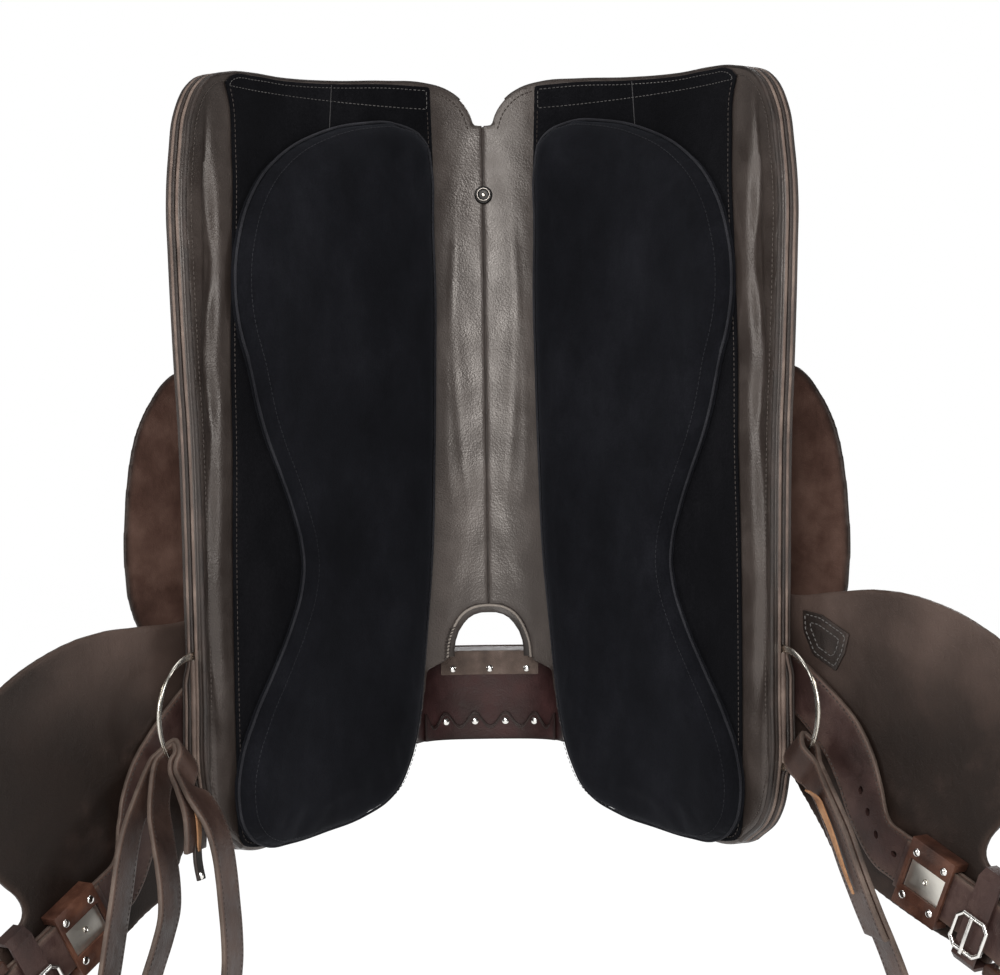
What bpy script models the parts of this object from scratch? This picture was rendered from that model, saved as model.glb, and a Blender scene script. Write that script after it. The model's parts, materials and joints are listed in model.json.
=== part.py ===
"""A treeless western saddle, hung by its back with the nose down and the underside to the front.

World axes, in metres: +Z runs up towards the cantle, +X to the off side, and the horse's back
lies on the -Y side. The origin is on the spine, on the lining's face, halfway along the skirts.
Leather is cut flat, in arc (over the back) and along (fore and aft), and then bent to shape.
"""
import math

import bmesh
import bpy
import numpy as np
from mathutils import Matrix, Vector

# Driving sizes of the whole saddle
HALF_LENGTH = 0.330
HALF_ARC = 0.320
ROCKER = 0.016
GAP = 0.0003
OVERRUN = 0.010
WELD = 0.00001
FACETS = 12
SPANS = 4
BACK_SLOPE_SHARES = [(0.0, 3.0), (0.06, 8.0), (0.125, 18.0), (0.25, 33.0), (0.44, 41.0),
                     (0.66, 50.0), (0.81, 60.0), (1.5, 60.0)]

# Layers of the underside and the skirts, from the horse outwards
PAD_THICK = 0.025
PAD_EDGE = 0.006
PAD_ROLL = 0.020
HOOK_THICK = 0.002
LINING_THICK = 0.011
SKIRT_THICK = 0.0093
BINDING_WIDTH = 0.0055
BINDING_PROUD = 0.0008
SKIN_OUT = LINING_THICK + GAP + SKIRT_THICK


def clear_scene():
    for item in list(bpy.data.objects):
        bpy.data.objects.remove(item, do_unlink=True)


clear_scene()
saddle = bpy.data.collections.new("treeless_saddle")
cutters = bpy.data.collections.new("cutters")
bpy.context.scene.collection.children.link(saddle)
bpy.context.scene.collection.children.link(cutters)


def material(name, colour, roughness, metallic=0.0):
    made = bpy.data.materials.new(name)
    made.use_nodes = True
    shader = made.node_tree.nodes["Principled BSDF"]
    shader.inputs["Base Color"].default_value = (*colour, 1.0)
    shader.inputs["Roughness"].default_value = roughness
    shader.inputs["Metallic"].default_value = metallic
    return made


SKIRT_LEATHER = ((0.055, 0.036, 0.027), 0.55)
LINING_LEATHER = ((0.110, 0.090, 0.076), 0.35)
DARK_LEATHER = ((0.030, 0.018, 0.014), 0.60)
RED_LEATHER = ((0.090, 0.040, 0.024), 0.55)
BLACK_SUEDE = ((0.006, 0.006, 0.007), 0.95)
HOOK_PILE = ((0.008, 0.008, 0.008), 0.98)
FOAM = ((0.080, 0.080, 0.085), 0.90)
HARD_SHELL = ((0.300, 0.240, 0.170), 0.60)
STEEL = ((0.560, 0.540, 0.500), 0.25, 1.0)
TAN_LACE = ((0.420, 0.220, 0.100), 0.70)


class Section:
    """A cross-section over the back, from the spine outwards, in straight facets."""

    def __init__(self, slope_shares, facet, count, start=0.0):
        table = np.array(slope_shares)
        middles = (np.arange(count) + 0.5) * facet
        slopes = np.radians(np.interp(middles / HALF_ARC, table[:, 0], table[:, 1]))
        steps = facet * np.stack([np.cos(slopes), -np.sin(slopes)], axis=1)
        self.facet = facet
        self.count = count
        self.points = np.vstack([[0.0, start], np.array([0.0, start]) + np.cumsum(steps, axis=0)])
        inner = np.concatenate([[-slopes[0]], slopes])
        outer = np.concatenate([slopes, [slopes[-1]]])
        middle = (inner + outer) / 2
        reach = 1.0 / np.cos((outer - inner) / 2)
        self.mitres = np.stack([np.sin(middle), np.cos(middle)], axis=1) * reach[:, None]

    def place(self, arc, rise):
        side = -1.0 if arc < 0 else 1.0
        whole = min(int(abs(arc) / self.facet + WELD), self.count - 1)
        part = abs(arc) / self.facet - whole
        lower = self.points[whole] + rise * self.mitres[whole]
        upper = self.points[whole + 1] + rise * self.mitres[whole + 1]
        spot = lower + part * (upper - lower)
        return side * spot[0], spot[1]

    def lines(self):
        return [step * self.facet for step in range(-self.count, self.count + 1)]


ARC_FACET = HALF_ARC / FACETS
ALONG_FACET = HALF_LENGTH / SPANS
BACK = Section(BACK_SLOPE_SHARES, ARC_FACET, FACETS + 4)


def rocker(along):
    """The back's lift towards the ends, straight between the cross-sections that are scored."""
    whole = math.floor(along / ALONG_FACET + WELD)
    low, high = ((step * ALONG_FACET / HALF_LENGTH) ** 2 for step in (whole, whole + 1))
    return ROCKER * (low + (along / ALONG_FACET - whole) * (high - low))


def bend(section, lift=0.0):
    """The map from a flat blank's arc, along and rise to its place on the saddle."""
    def place(spot):
        x, y = section.place(spot[0], spot[2] + lift)
        return Vector((x, y + rocker(spot[1]), spot[1]))
    return place


ALONG_LINES = [step * ALONG_FACET for step in range(-SPANS - 1, SPANS + 2)]


def spread(shares, across=HALF_ARC, along=HALF_LENGTH):
    return [(across * one, along * two) for one, two in shares]


def blank(loops, low, high, smooth=2):
    """A flat slab from closed outlines; each outline is its points and its sharp corners."""
    curve = bpy.data.curves.new("blank", "CURVE")
    curve.dimensions = "2D"
    curve.fill_mode = "BOTH"
    curve.resolution_u = smooth
    curve.extrude = (high - low) / 2
    for points, corners in loops:
        spline = curve.splines.new("BEZIER")
        spline.bezier_points.add(len(points) - 1)
        spline.use_cyclic_u = True
        for place, (knot, point) in enumerate(zip(spline.bezier_points, points)):
            knot.co = (point[0], point[1], 0.0)
            kind = "VECTOR" if corners == "all" or place in corners else "AUTO"
            knot.handle_left_type = kind
            knot.handle_right_type = kind
    holder = bpy.data.objects.new("blank", curve)
    bpy.context.scene.collection.objects.link(holder)
    graph = bpy.context.evaluated_depsgraph_get()
    mesh = bpy.data.meshes.new_from_object(holder.evaluated_get(graph))
    bpy.data.objects.remove(holder, do_unlink=True)
    work = bmesh.new()
    work.from_mesh(mesh)
    bpy.data.meshes.remove(mesh)
    bmesh.ops.remove_doubles(work, verts=work.verts, dist=WELD)
    bmesh.ops.dissolve_limit(work, angle_limit=math.radians(0.4), verts=work.verts,
                             edges=work.edges)
    bmesh.ops.translate(work, verts=work.verts, vec=(0.0, 0.0, (high + low) / 2))
    return work


def score(work, axis, lines):
    """Cut the blank's faces along straight lines across one of its flat axes."""
    normal = Vector((1.0, 0.0, 0.0)) if axis == 0 else Vector((0.0, 1.0, 0.0))
    spots = [vert.co[axis] for vert in work.verts]
    for line in lines:
        if min(spots) < line < max(spots):
            geometry = work.verts[:] + work.edges[:] + work.faces[:]
            bmesh.ops.bisect_plane(work, geom=geometry, dist=WELD, plane_co=normal * line,
                                   plane_no=normal)


def shape(work, place):
    for vert in work.verts:
        vert.co = place(vert.co)


def finish(name, work, look, smooth=35.0, home=saddle):
    """Make the bmesh an object with its own material, faces out."""
    bmesh.ops.recalc_face_normals(work, faces=work.faces)
    if work.calc_volume(signed=True) < 0.0:
        bmesh.ops.reverse_faces(work, faces=work.faces)
    mesh = bpy.data.meshes.new(name)
    work.to_mesh(mesh)
    work.free()
    made = bpy.data.objects.new(name, mesh)
    home.objects.link(made)
    if look:
        mesh.materials.append(material(name, *look))
        mesh.shade_smooth()
        mesh.set_sharp_from_angle(angle=math.radians(smooth))
    else:
        made.hide_render = True
        made.display_type = "WIRE"
    return made


def twin(source, name, look):
    """The near side's copy of an off side piece, mirrored across the spine."""
    work = bmesh.new()
    work.from_mesh(source.data)
    bmesh.ops.scale(work, verts=work.verts, vec=(-1.0, 1.0, 1.0))
    return finish(name, work, look)


def cut(target, cutter, operation="DIFFERENCE"):
    step = target.modifiers.new(operation.lower(), "BOOLEAN")
    step.operation = operation
    step.solver = "EXACT"
    step.object = cutter


def baked(target):
    """Put the piece's modifiers into its mesh, so that it can be copied."""
    graph = bpy.context.evaluated_depsgraph_get()
    mesh = bpy.data.meshes.new_from_object(target.evaluated_get(graph))
    target.modifiers.clear()
    target.data = mesh
    return target


def sheet(name, loops, low, high, look, section=BACK, extra=(), home=saddle):
    work = blank(loops, low, high)
    score(work, 0, section.lines())
    score(work, 1, list(ALONG_LINES) + list(extra))
    shape(work, bend(section))
    return finish(name, work, look, home=home)


# Lining: two soft leather halves that meet in a seam on the spine
SEAM = GAP / 2 / HALF_ARC
LINING_SHARES = [
    (SEAM, 0.904), (0.025, 0.904), (0.030, 0.925), (0.048, 0.958), (0.090, 0.995),
    (0.160, 1.015), (0.281, 1.013), (0.446, 0.998), (0.625, 0.987), (0.750, 0.986),
    (0.844, 0.976), (0.937, 0.945), (1.000, 0.864), (1.023, 0.758), (1.034, 0.627),
    (1.028, 0.515), (1.005, 0.212), (0.992, 0.073), (0.978, -0.318), (0.974, -0.576),
    (0.969, -0.788), (0.927, -0.894), (0.856, -0.945), (0.802, -0.970), (0.672, -0.964),
    (0.531, -0.930), (0.375, -0.879), (0.266, -0.812), (0.207, -0.743), (0.190, -0.661),
    (0.173, -0.552), (0.1165, -0.527), (0.112, -0.470), (0.087, -0.415), (0.050, -0.387),
    (SEAM, -0.381)]
LINING_CORNERS = (0, 1, 28, 30, 31, 35)


def make_linings():
    right = sheet("lining_right", [(spread(LINING_SHARES), LINING_CORNERS)], 0.0, LINING_THICK,
                  LINING_LEATHER)
    twin(right, "lining_left", LINING_LEATHER)


# Pile panels that the pads stick to
HOOK_SHARES = [
    (0.150, 1.005), (0.281, 1.004), (0.446, 0.990), (0.625, 0.979), (0.750, 0.978),
    (0.840, 0.969), (0.872, 0.946), (0.852, 0.894), (0.844, 0.788), (0.840, 0.697),
    (0.846, 0.515), (0.853, 0.273), (0.850, 0.030), (0.856, -0.242), (0.856, -0.591),
    (0.855, -0.794), (0.856, -0.894), (0.838, -0.946), (0.790, -0.962), (0.672, -0.956),
    (0.531, -0.922), (0.375, -0.871), (0.275, -0.809), (0.220, -0.743), (0.202, -0.661),
    (0.185, -0.550), (0.160, -0.300), (0.145, 0.000), (0.140, 0.400), (0.143, 0.800)]
HOOK_CORNERS = (0, 6, 23, 25)


def make_hook_panels():
    right = sheet("hook_panel_right", [(spread(HOOK_SHARES), HOOK_CORNERS)], -GAP - HOOK_THICK,
                  -GAP, HOOK_PILE)
    twin(right, "hook_panel_left", HOOK_PILE)


# Pads: suede over foam, crowned, with a rolled edge all round
PAD_SHARES = [
    (0.156, 0.794), (0.178, 0.858), (0.266, 0.895), (0.369, 0.891), (0.537, 0.848),
    (0.681, 0.773), (0.791, 0.667), (0.844, 0.561), (0.862, 0.445), (0.844, 0.339),
    (0.798, 0.239), (0.756, 0.121), (0.719, 0.045), (0.672, -0.036), (0.631, -0.121),
    (0.598, -0.224), (0.600, -0.303), (0.641, -0.409), (0.716, -0.527), (0.800, -0.636),
    (0.862, -0.742), (0.875, -0.848), (0.844, -0.918), (0.766, -0.961), (0.666, -0.964),
    (0.537, -0.948), (0.394, -0.918), (0.300, -0.870), (0.250, -0.794), (0.219, -0.697),
    (0.200, -0.570), (0.184, -0.424), (0.166, -0.242), (0.156, 0.000), (0.150, 0.242),
    (0.147, 0.455), (0.152, 0.618)]
PAD_RINGS = (0.003, 0.005, 0.008)
PAD_CELLS = 11


def edge_distance(point, ring):
    """The distance in the flat from a point to a closed outline."""
    starts = ring
    runs = np.roll(ring, -1, axis=0) - starts
    spans = np.maximum((runs ** 2).sum(axis=1), WELD ** 2)
    along = np.clip(((point - starts) * runs).sum(axis=1) / spans, 0.0, 1.0)
    return np.sqrt((((starts + along[:, None] * runs) - point) ** 2).sum(axis=1)).min()


def crown(distance):
    """The pad's thickness at a distance in from its edge."""
    inward = min(distance / PAD_ROLL, 1.0)
    return PAD_EDGE + (PAD_THICK - PAD_EDGE) * math.sqrt(1.0 - (1.0 - inward) ** 2)


def make_pads():
    top = -GAP - HOOK_THICK - GAP
    work = blank([(spread(PAD_SHARES), ())], 0.0, PAD_EDGE, smooth=1)
    face = max(work.faces, key=lambda item: item.calc_area() * (item.calc_center_median().z < WELD))
    ring = np.array([vert.co.xy for vert in face.verts])
    for width in PAD_RINGS:
        bmesh.ops.inset_region(work, faces=[face], thickness=width, use_even_offset=True)
    score(work, 0, BACK.lines())
    cell = 2 * HALF_LENGTH / PAD_CELLS / 2
    score(work, 1, sorted(set(ALONG_LINES) | {step * cell for step in range(-PAD_CELLS, PAD_CELLS)}))
    place = bend(BACK)
    for vert in work.verts:
        rise = top
        if vert.co.z < WELD:
            rise -= crown(edge_distance(np.array(vert.co.xy), ring))
        vert.co = place(Vector((vert.co.x, vert.co.y, rise)))
    right = finish("pad_right", work, BLACK_SUEDE, smooth=60.0)
    twin(right, "pad_left", BLACK_SUEDE)


# Skirts, and the rigging plates held between them and the lining
SKIRT_INNER_SHARES = [(0.216, -0.742), (0.190, -0.552), (0.136, -0.527), (0.130, -0.450),
                      (0.112, -0.390), (0.075, -0.355), (0.070, 0.000), (0.070, 0.955)]
RING_ALONG = -0.203
RING_INSET = 0.015
RING_ARC = HALF_ARC - RING_INSET
RING_RADIUS = 0.052
RING_BAR = 0.0075
RING_THICK = 0.003
RING_ANCHOR_DEEP = 0.041
RING_ANCHOR_ARC = RING_ARC - RING_ANCHOR_DEEP
RING_ANCHOR_HALF = 0.038
POCKET_CLEAR = 0.0006
RING_POINTS = 10


def half_round(radius, arc, points, turn=1):
    """A half circle that bulges away from the spine, from its rear end to its front end."""
    steps = [math.pi * (0.5 - step / points) * turn for step in range(points + 1)]
    return [(arc + radius * math.cos(angle), RING_ALONG + radius * math.sin(angle))
            for angle in steps]


def make_skirts():
    outline = spread(LINING_SHARES[4:29] + SKIRT_INNER_SHARES)
    corners = (24, 25, 27, len(outline) - 1)
    right = sheet("skirt_right", [(outline, corners)], LINING_THICK + GAP, SKIN_OUT, SKIRT_LEATHER)
    low = RING_ANCHOR_ARC - POCKET_CLEAR
    high = RING_ARC + RING_RADIUS
    half = RING_RADIUS + POCKET_CLEAR
    pocket = [(low, RING_ALONG + half), (high, RING_ALONG + half), (high, RING_ALONG - half),
              (low, RING_ALONG - half)]
    cutter = sheet("rigging_pocket", [(pocket, "all")], LINING_THICK,
                   LINING_THICK + GAP + RING_THICK + GAP, None, home=cutters)
    cut(right, cutter)
    twin(baked(right), "skirt_left", SKIRT_LEATHER)


def make_rigging():
    outer = half_round(RING_RADIUS, RING_ARC, RING_POINTS)
    anchor = [(RING_ANCHOR_ARC, RING_ALONG - RING_ANCHOR_HALF),
              (RING_ANCHOR_ARC, RING_ALONG + RING_ANCHOR_HALF)]
    hole = half_round(RING_RADIUS - RING_BAR, RING_ARC + RING_BAR, RING_POINTS)
    right = sheet("rigging_plate_right", [(outer + anchor, "all"), (hole, "all")],
                  LINING_THICK + GAP, LINING_THICK + GAP + RING_THICK, STEEL)
    twin(right, "rigging_plate_left", STEEL)


# Binding rolled round the hand hole, which both lining halves share
BINDING_OUTER_SHARES = [(0.1135, -0.517), (0.1095, -0.470), (0.0845, -0.4180),
                        (0.0480, -0.3900), (0.0, -0.3840)]
BINDING_INNER_SHARES = [(0.0, -0.4005), (0.0400, -0.4060), (0.0690, -0.4290),
                        (0.0925, -0.4750), (0.0965, -0.517)]


def across(half):
    """A whole outline from its off side half, listed from front to spine."""
    return half + [(-one, two) for one, two in reversed(half) if one > 0.0]


def make_binding():
    outer = across(BINDING_OUTER_SHARES)
    inner = [(-one, two) for one, two in across(BINDING_OUTER_SHARES[:0] +
             list(reversed(BINDING_INNER_SHARES)))]
    loop = outer + inner
    corners = (0, len(outer) - 1, len(outer), len(loop) - 1)
    sheet("hand_hole_binding", [(spread(loop), corners)], -BINDING_PROUD,
          LINING_THICK + BINDING_PROUD, DARK_LEATHER)


def turned(name, profile, look, seat, steps=12, home=saddle):
    """A turned piece: its profile of radius and height, swept about the seat's own Z axis."""
    mesh = bpy.data.meshes.new(name)
    rows = [(radius, 0.0, height) for radius, height in profile]
    mesh.from_pydata(rows, [(row, row + 1) for row in range(len(rows) - 1)], [])
    made = bpy.data.objects.new(name, mesh)
    home.objects.link(made)
    sweep = made.modifiers.new("turn", "SCREW")
    sweep.steps = steps
    sweep.render_steps = steps
    sweep.use_merge_vertices = True
    sweep.merge_threshold = WELD
    made.matrix_world = seat
    if look:
        mesh.materials.append(material(name, *look))
    else:
        made.hide_render = True
        made.display_type = "WIRE"
    return made


def seat_on(place, up, across_hint=Vector((0.0, 0.0, 1.0))):
    """A placing matrix whose Z axis is up and whose X axis lies near the hint."""
    high = Vector(up).normalized()
    side = (across_hint - high * across_hint.dot(high)).normalized()
    turn = Matrix((side, high.cross(side), high)).transposed().to_4x4()
    return Matrix.Translation(Vector(place)) @ turn


# Snap stud on the spine, behind the pads
SNAP_ALONG = 0.236
SNAP_RADIUS = 0.0080
SNAP_RIM = 0.0060
SNAP_BORE = 0.0028
SNAP_HEIGHT = 0.0045
SNAP_FLANGE = 0.0016


def make_snap():
    low, high = (rocker(SNAP_ALONG + side * SNAP_RADIUS) for side in (-1, 1))
    tilt = Vector((0.0, -2 * SNAP_RADIUS, high - low))
    drop = SNAP_RADIUS * math.tan(math.radians(BACK_SLOPE_SHARES[1][1]))
    foot = Vector((0.0, (low + high) / 2 - GAP - drop, SNAP_ALONG))
    profile = [(0.0, SNAP_FLANGE), (SNAP_BORE, SNAP_FLANGE), (SNAP_BORE, SNAP_HEIGHT),
               (SNAP_RIM, SNAP_HEIGHT), (SNAP_RIM, SNAP_FLANGE), (SNAP_RADIUS, SNAP_FLANGE),
               (SNAP_RADIUS, 0.0), (0.0, 0.0)]
    turned("spine_snap", profile, STEEL, seat_on(foot, tilt))


# Fork: a stiff arch on the skirts over the gullet, nailed leather under it and a cover over it
FORK_REAR = -0.169
FORK_FRONT = -0.2485
FORK_LIFT = rocker((FORK_REAR + FORK_FRONT) / 2)
GULLET_RISE = 0.048
NAIL_PITCH = 0.028
GULLET_FACET = NAIL_PITCH / 3
GULLET_FACETS = 11
GULLET_SLOPE_SHARES = [(0.0, 1.0), (0.08, 6.0), (0.14, 25.0), (0.19, 50.0), (0.24, 74.0),
                       (0.40, 74.0)]
GULLET = Section(GULLET_SLOPE_SHARES, GULLET_FACET, GULLET_FACETS, GULLET_RISE)
GULLET_LEATHER = 0.0025
EDGING_LEATHER = 0.0020
GULLET_HALF = 0.088
EDGING_HALF = 0.070
EDGING_MEAN = 0.0190
EDGING_WAVE = 0.0062
NAIL_RADIUS = 0.0034
NAIL_DOME = 0.0018
REAR_NAIL_PITCH = 0.034
REAR_NAIL_ALONG = -0.185
FRONT_NAIL_ALONG = -0.232
SWELL_HALF = 0.162
SWELL_TOP = 0.104
HORN_FLAT = 0.034
SWELL_SHARES = [(0.94, -0.95), (1.00, -0.43), (0.99, 0.00), (0.93, 0.37), (0.77, 0.69),
                (0.52, 0.90)]
SWELL_LEATHER = 0.0030
FORM_REACH_SHARES = [(0.93, 1.04), (0.93, -1.04), (-0.93, -1.04), (-0.93, 1.04)]
FORM_DEPTH = 0.060


def back_form(name, top):
    """A cutter that fills the back up to a height over the lining's face."""
    return sheet(name, [(spread(FORM_REACH_SHARES), "all")], -FORM_DEPTH, top, None,
                 home=cutters)


def in_gullet(spot):
    x, y = GULLET.place(spot[0], spot[2])
    return Vector((x, y + FORK_LIFT, spot[1]))


def gullet_sheet(name, outline, low, high, look):
    work = blank([(outline, "all")], low, high, smooth=1)
    score(work, 0, GULLET.lines())
    shape(work, in_gullet)
    return finish(name, work, look)


def swell_line(inset=0.0):
    """The fork's outer line from the near side over the top to the off side."""
    half = [(SWELL_HALF * one, SWELL_TOP * two) for one, two in SWELL_SHARES]
    half += [(HORN_FLAT, SWELL_TOP)]
    line = np.array([(-one, two) for one, two in half] + list(reversed(half)))
    runs = np.diff(line, axis=0)
    runs /= np.linalg.norm(runs, axis=1)[:, None]
    normals = np.stack([-runs[:, 1], runs[:, 0]], axis=1)
    inner = np.vstack([normals[:1], normals])
    outer = np.vstack([normals, normals[-1:]])
    mitres = inner + outer
    mitres *= (2.0 / (mitres ** 2).sum(axis=1))[:, None]
    return [tuple(spot) for spot in line + inset * mitres]


def make_fork():
    gullet = [(spot[0], spot[1]) for spot in GULLET.points]
    foot = (gullet[-1][0], gullet[-1][1] - OVERRUN)
    inner = [(-foot[0], foot[1])] + [(-one, two) for one, two in reversed(gullet[1:])]
    inner += gullet + [foot]
    work = blank([(swell_line() + list(reversed(inner)), "all")], FORK_FRONT, FORK_REAR, smooth=1)
    bmesh.ops.translate(work, verts=work.verts, vec=(0.0, FORK_LIFT, 0.0))
    fork = finish("fork", work, HARD_SHELL)
    form = back_form("skirt_top", SKIN_OUT + GAP)
    cut(fork, form)
    outer = swell_line(GAP + SWELL_LEATHER)
    cover = blank([(outer + list(reversed(swell_line(GAP))), "all")], FORK_FRONT - GAP * 4,
                  FORK_REAR + GAP * 4, smooth=1)
    bmesh.ops.translate(cover, verts=cover.verts, vec=(0.0, FORK_LIFT, 0.0))
    cut(finish("swell_cover", cover, RED_LEATHER), form)


def make_gullet():
    top = -GAP
    low = top - GULLET_LEATHER
    plain = [(-GULLET_HALF, FORK_FRONT), (GULLET_HALF, FORK_FRONT), (GULLET_HALF, FORK_REAR),
             (-GULLET_HALF, FORK_REAR)]
    gullet_sheet("gullet_cover", plain, low, top, DARK_LEATHER)
    steps = 24
    wave = []
    for step in range(steps + 1):
        across_line = EDGING_HALF * (1 - 2 * step / steps)
        turn = 2 * math.pi * (across_line / NAIL_PITCH - 0.5)
        wave.append((across_line, FORK_FRONT + EDGING_MEAN + EDGING_WAVE * math.cos(turn)))
    band = [(-EDGING_HALF, FORK_FRONT), (EDGING_HALF, FORK_FRONT)] + wave
    gullet_sheet("gullet_edging", band, low - GAP - EDGING_LEATHER, low - GAP, DARK_LEATHER)
    profile = [(0.0, NAIL_DOME), (NAIL_RADIUS / 2, NAIL_DOME * 0.85), (NAIL_RADIUS, 0.0),
               (0.0, 0.0)]
    rows = [("rear", REAR_NAIL_ALONG, low, [step * REAR_NAIL_PITCH for step in (-1, 0, 1)]),
            ("front", FRONT_NAIL_ALONG, low - GAP - EDGING_LEATHER,
             [NAIL_PITCH * (step - 1.5) for step in range(4)])]
    for row, along, level, spots in rows:
        for count, spot in enumerate(spots):
            foot = in_gullet((spot, along, level - GAP))
            up = in_gullet((spot, along, level - GAP - NAIL_DOME)) - foot
            turned(f"gullet_nail_{row}_{count + 1}", profile, STEEL, seat_on(foot, up), steps=8)


# Horn, screwed down through the swell's cover
HORN_ALONG = -0.2195
HORN_FLANGE = 0.030
HORN_FLANGE_THICK = 0.005
HORN_NECK = 0.016
HORN_HEAD = 0.031
HORN_HEIGHT = 0.074
HORN_HEAD_THICK = 0.009
CAP_RADIUS = 0.036
CAP_THICK = 0.009
CAP_BEVEL = 0.003


def make_horn():
    foot = Vector((0.0, SWELL_TOP + FORK_LIFT + GAP + SWELL_LEATHER + GAP, HORN_ALONG))
    seat = seat_on(foot, (0.0, 1.0, 0.0))
    waist = HORN_HEIGHT - HORN_HEAD_THICK
    profile = [(0.0, HORN_HEIGHT), (HORN_HEAD, HORN_HEIGHT), (HORN_HEAD, waist),
               (HORN_NECK, waist - HORN_HEAD_THICK), (HORN_NECK, 2 * HORN_FLANGE_THICK),
               (HORN_FLANGE, HORN_FLANGE_THICK), (HORN_FLANGE, 0.0), (0.0, 0.0)]
    turned("horn", profile, HARD_SHELL, seat, steps=20)
    top = HORN_HEIGHT + GAP
    profile = [(0.0, top + CAP_THICK), (CAP_RADIUS - CAP_BEVEL, top + CAP_THICK - CAP_BEVEL / 2),
               (CAP_RADIUS, top + CAP_THICK - 2 * CAP_BEVEL), (CAP_RADIUS, top), (0.0, top)]
    turned("horn_cap", profile, RED_LEATHER, seat, steps=20)


# Seat: a stiff ground seat on the skirts, a padded seat on it and the cantle round its back
GROUND_THICK = 0.006
GROUND_HALF = 0.130
CANTLE_ALONG = 0.085
CANTLE_RADIUS = 0.140
CANTLE_THICK = 0.016
CANTLE_HEIGHT = 0.105
CANTLE_TURN = 1.30
CANTLE_LEAN = 0.30
ROLL_RADIUS = 0.0105
ROLL_RISE = 0.0060
CUSHION_EDGE = 0.006
CUSHION_THICK = 0.018
CUSHION_ROLL = 0.030
CUSHION_REAR_RISE = 0.030
CUSHION_FRONT_RISE = 0.016
CUSHION_INSET = 0.006
CUSHION_RINGS = (0.006, 0.012)
GROUND_SHARES = [(0.00, -0.345), (0.30, -0.345), (0.42, -0.390), (0.55, -0.455), (0.75, -0.475),
                 (0.93, -0.455), (0.99, -0.380), (1.00, -0.200), (1.00, 0.000), (1.00, 0.180)]
CUSHION_SHARES = [(0.00, -0.340), (0.40, -0.335), (0.60, -0.300), (0.71, -0.220), (0.76, -0.090),
                  (0.77, 0.060), (0.77, 0.180)]
CANTLE_STEPS = 16
CANTLE_CLEAR = 0.001


def seat_outline(shares, inset):
    """The seat's outline in the flat: its sides, and the cantle's arc at the back."""
    half = spread(shares, GROUND_HALF)
    radius = CANTLE_RADIUS - CANTLE_CLEAR - inset
    arc = range(1, CANTLE_STEPS // 2 + 1)
    for step in arc:
        turn = CANTLE_TURN * (1 - 2 * step / CANTLE_STEPS)
        half.append((radius * math.sin(turn), CANTLE_ALONG + radius * math.cos(turn)))
    corners = range(len(shares), len(half) + len(arc) - 1)
    return half + [(-one, two) for one, two in reversed(half[1:-1])], corners


def cushion_top(spot, ring):
    inward = min(edge_distance(np.array(spot), ring) / CUSHION_ROLL, 1.0)
    rear = max(0.0, min(1.0, (spot[1] - 0.10 * HALF_LENGTH) / (0.55 * HALF_LENGTH)))
    front = max(0.0, min(1.0, (-0.02 * HALF_LENGTH - spot[1]) / (0.30 * HALF_LENGTH)))
    rise = CUSHION_THICK + CUSHION_REAR_RISE * rear ** 2 + CUSHION_FRONT_RISE * front ** 2
    return CUSHION_EDGE + (rise - CUSHION_EDGE) * math.sqrt(1.0 - (1.0 - inward) ** 2)


def make_seat():
    sheet("ground_seat", [seat_outline(GROUND_SHARES, 0.0)], SKIN_OUT + GAP, SKIN_OUT + GAP + GROUND_THICK,
          HARD_SHELL)
    low = SKIN_OUT + GAP + GROUND_THICK + GAP
    work = blank([seat_outline(CUSHION_SHARES, CUSHION_INSET)], 0.0, CUSHION_EDGE, smooth=1)
    face = max(work.faces, key=lambda item: item.calc_area() * (item.calc_center_median().z > WELD))
    ring = np.array([vert.co.xy for vert in face.verts])
    for width in CUSHION_RINGS:
        bmesh.ops.inset_region(work, faces=[face], thickness=width, use_even_offset=True)
    score(work, 0, BACK.lines())
    score(work, 1, sorted(set(ALONG_LINES) | {step * ALONG_FACET / 3 for step in range(-6, 12)}))
    place = bend(BACK)
    for vert in work.verts:
        top = low
        if vert.co.z > WELD:
            top += cushion_top(tuple(vert.co.xy), ring)
        vert.co = place(Vector((vert.co.x, vert.co.y, top)))
    finish("seat_cushion", work, RED_LEATHER, smooth=60.0)


def cantle_top(turn):
    """The cantle's height at a turn from its middle."""
    return CANTLE_HEIGHT * (0.22 + 0.78 * math.cos(turn / CANTLE_TURN * math.pi / 2) ** 0.8)


def on_cantle(turn, out, height):
    """A place on the cantle: its turn, how far out from its inner face, and its height."""
    radius = CANTLE_RADIUS + out + CANTLE_LEAN * height
    spot = (radius * math.sin(turn), CANTLE_ALONG + radius * math.cos(turn))
    return bend(BACK)((spot[0], spot[1], SKIN_OUT + height))


def make_cantle():
    turns = [CANTLE_TURN * (2 * step / CANTLE_STEPS - 1) for step in range(CANTLE_STEPS + 1)]
    work = bmesh.new()
    rings = []
    for turn in turns:
        top = cantle_top(turn)
        spots = [(0.0, -OVERRUN), (0.0, top * 0.5), (0.0, top), (CANTLE_THICK, top),
                 (CANTLE_THICK, top * 0.5), (CANTLE_THICK, -OVERRUN)]
        rings.append([work.verts.new(on_cantle(turn, *spot)) for spot in spots])
    for one, two in zip(rings, rings[1:]):
        for corner in range(len(one)):
            after = (corner + 1) % len(one)
            work.faces.new((one[corner], one[after], two[after], two[corner]))
    work.faces.new(rings[0])
    work.faces.new(list(reversed(rings[-1])))
    cantle = finish("cantle", work, HARD_SHELL)
    cut(cantle, bpy.data.objects["skirt_top"])
    route = [on_cantle(turn, CANTLE_THICK / 2, cantle_top(turn) + ROLL_RISE) for turn in turns]
    cut(cantle, tube("roll_groove", route, ROLL_RADIUS + GAP, None, sides=1, home=cutters))
    tube("cantle_roll", route, ROLL_RADIUS, RED_LEATHER, sides=1)


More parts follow.
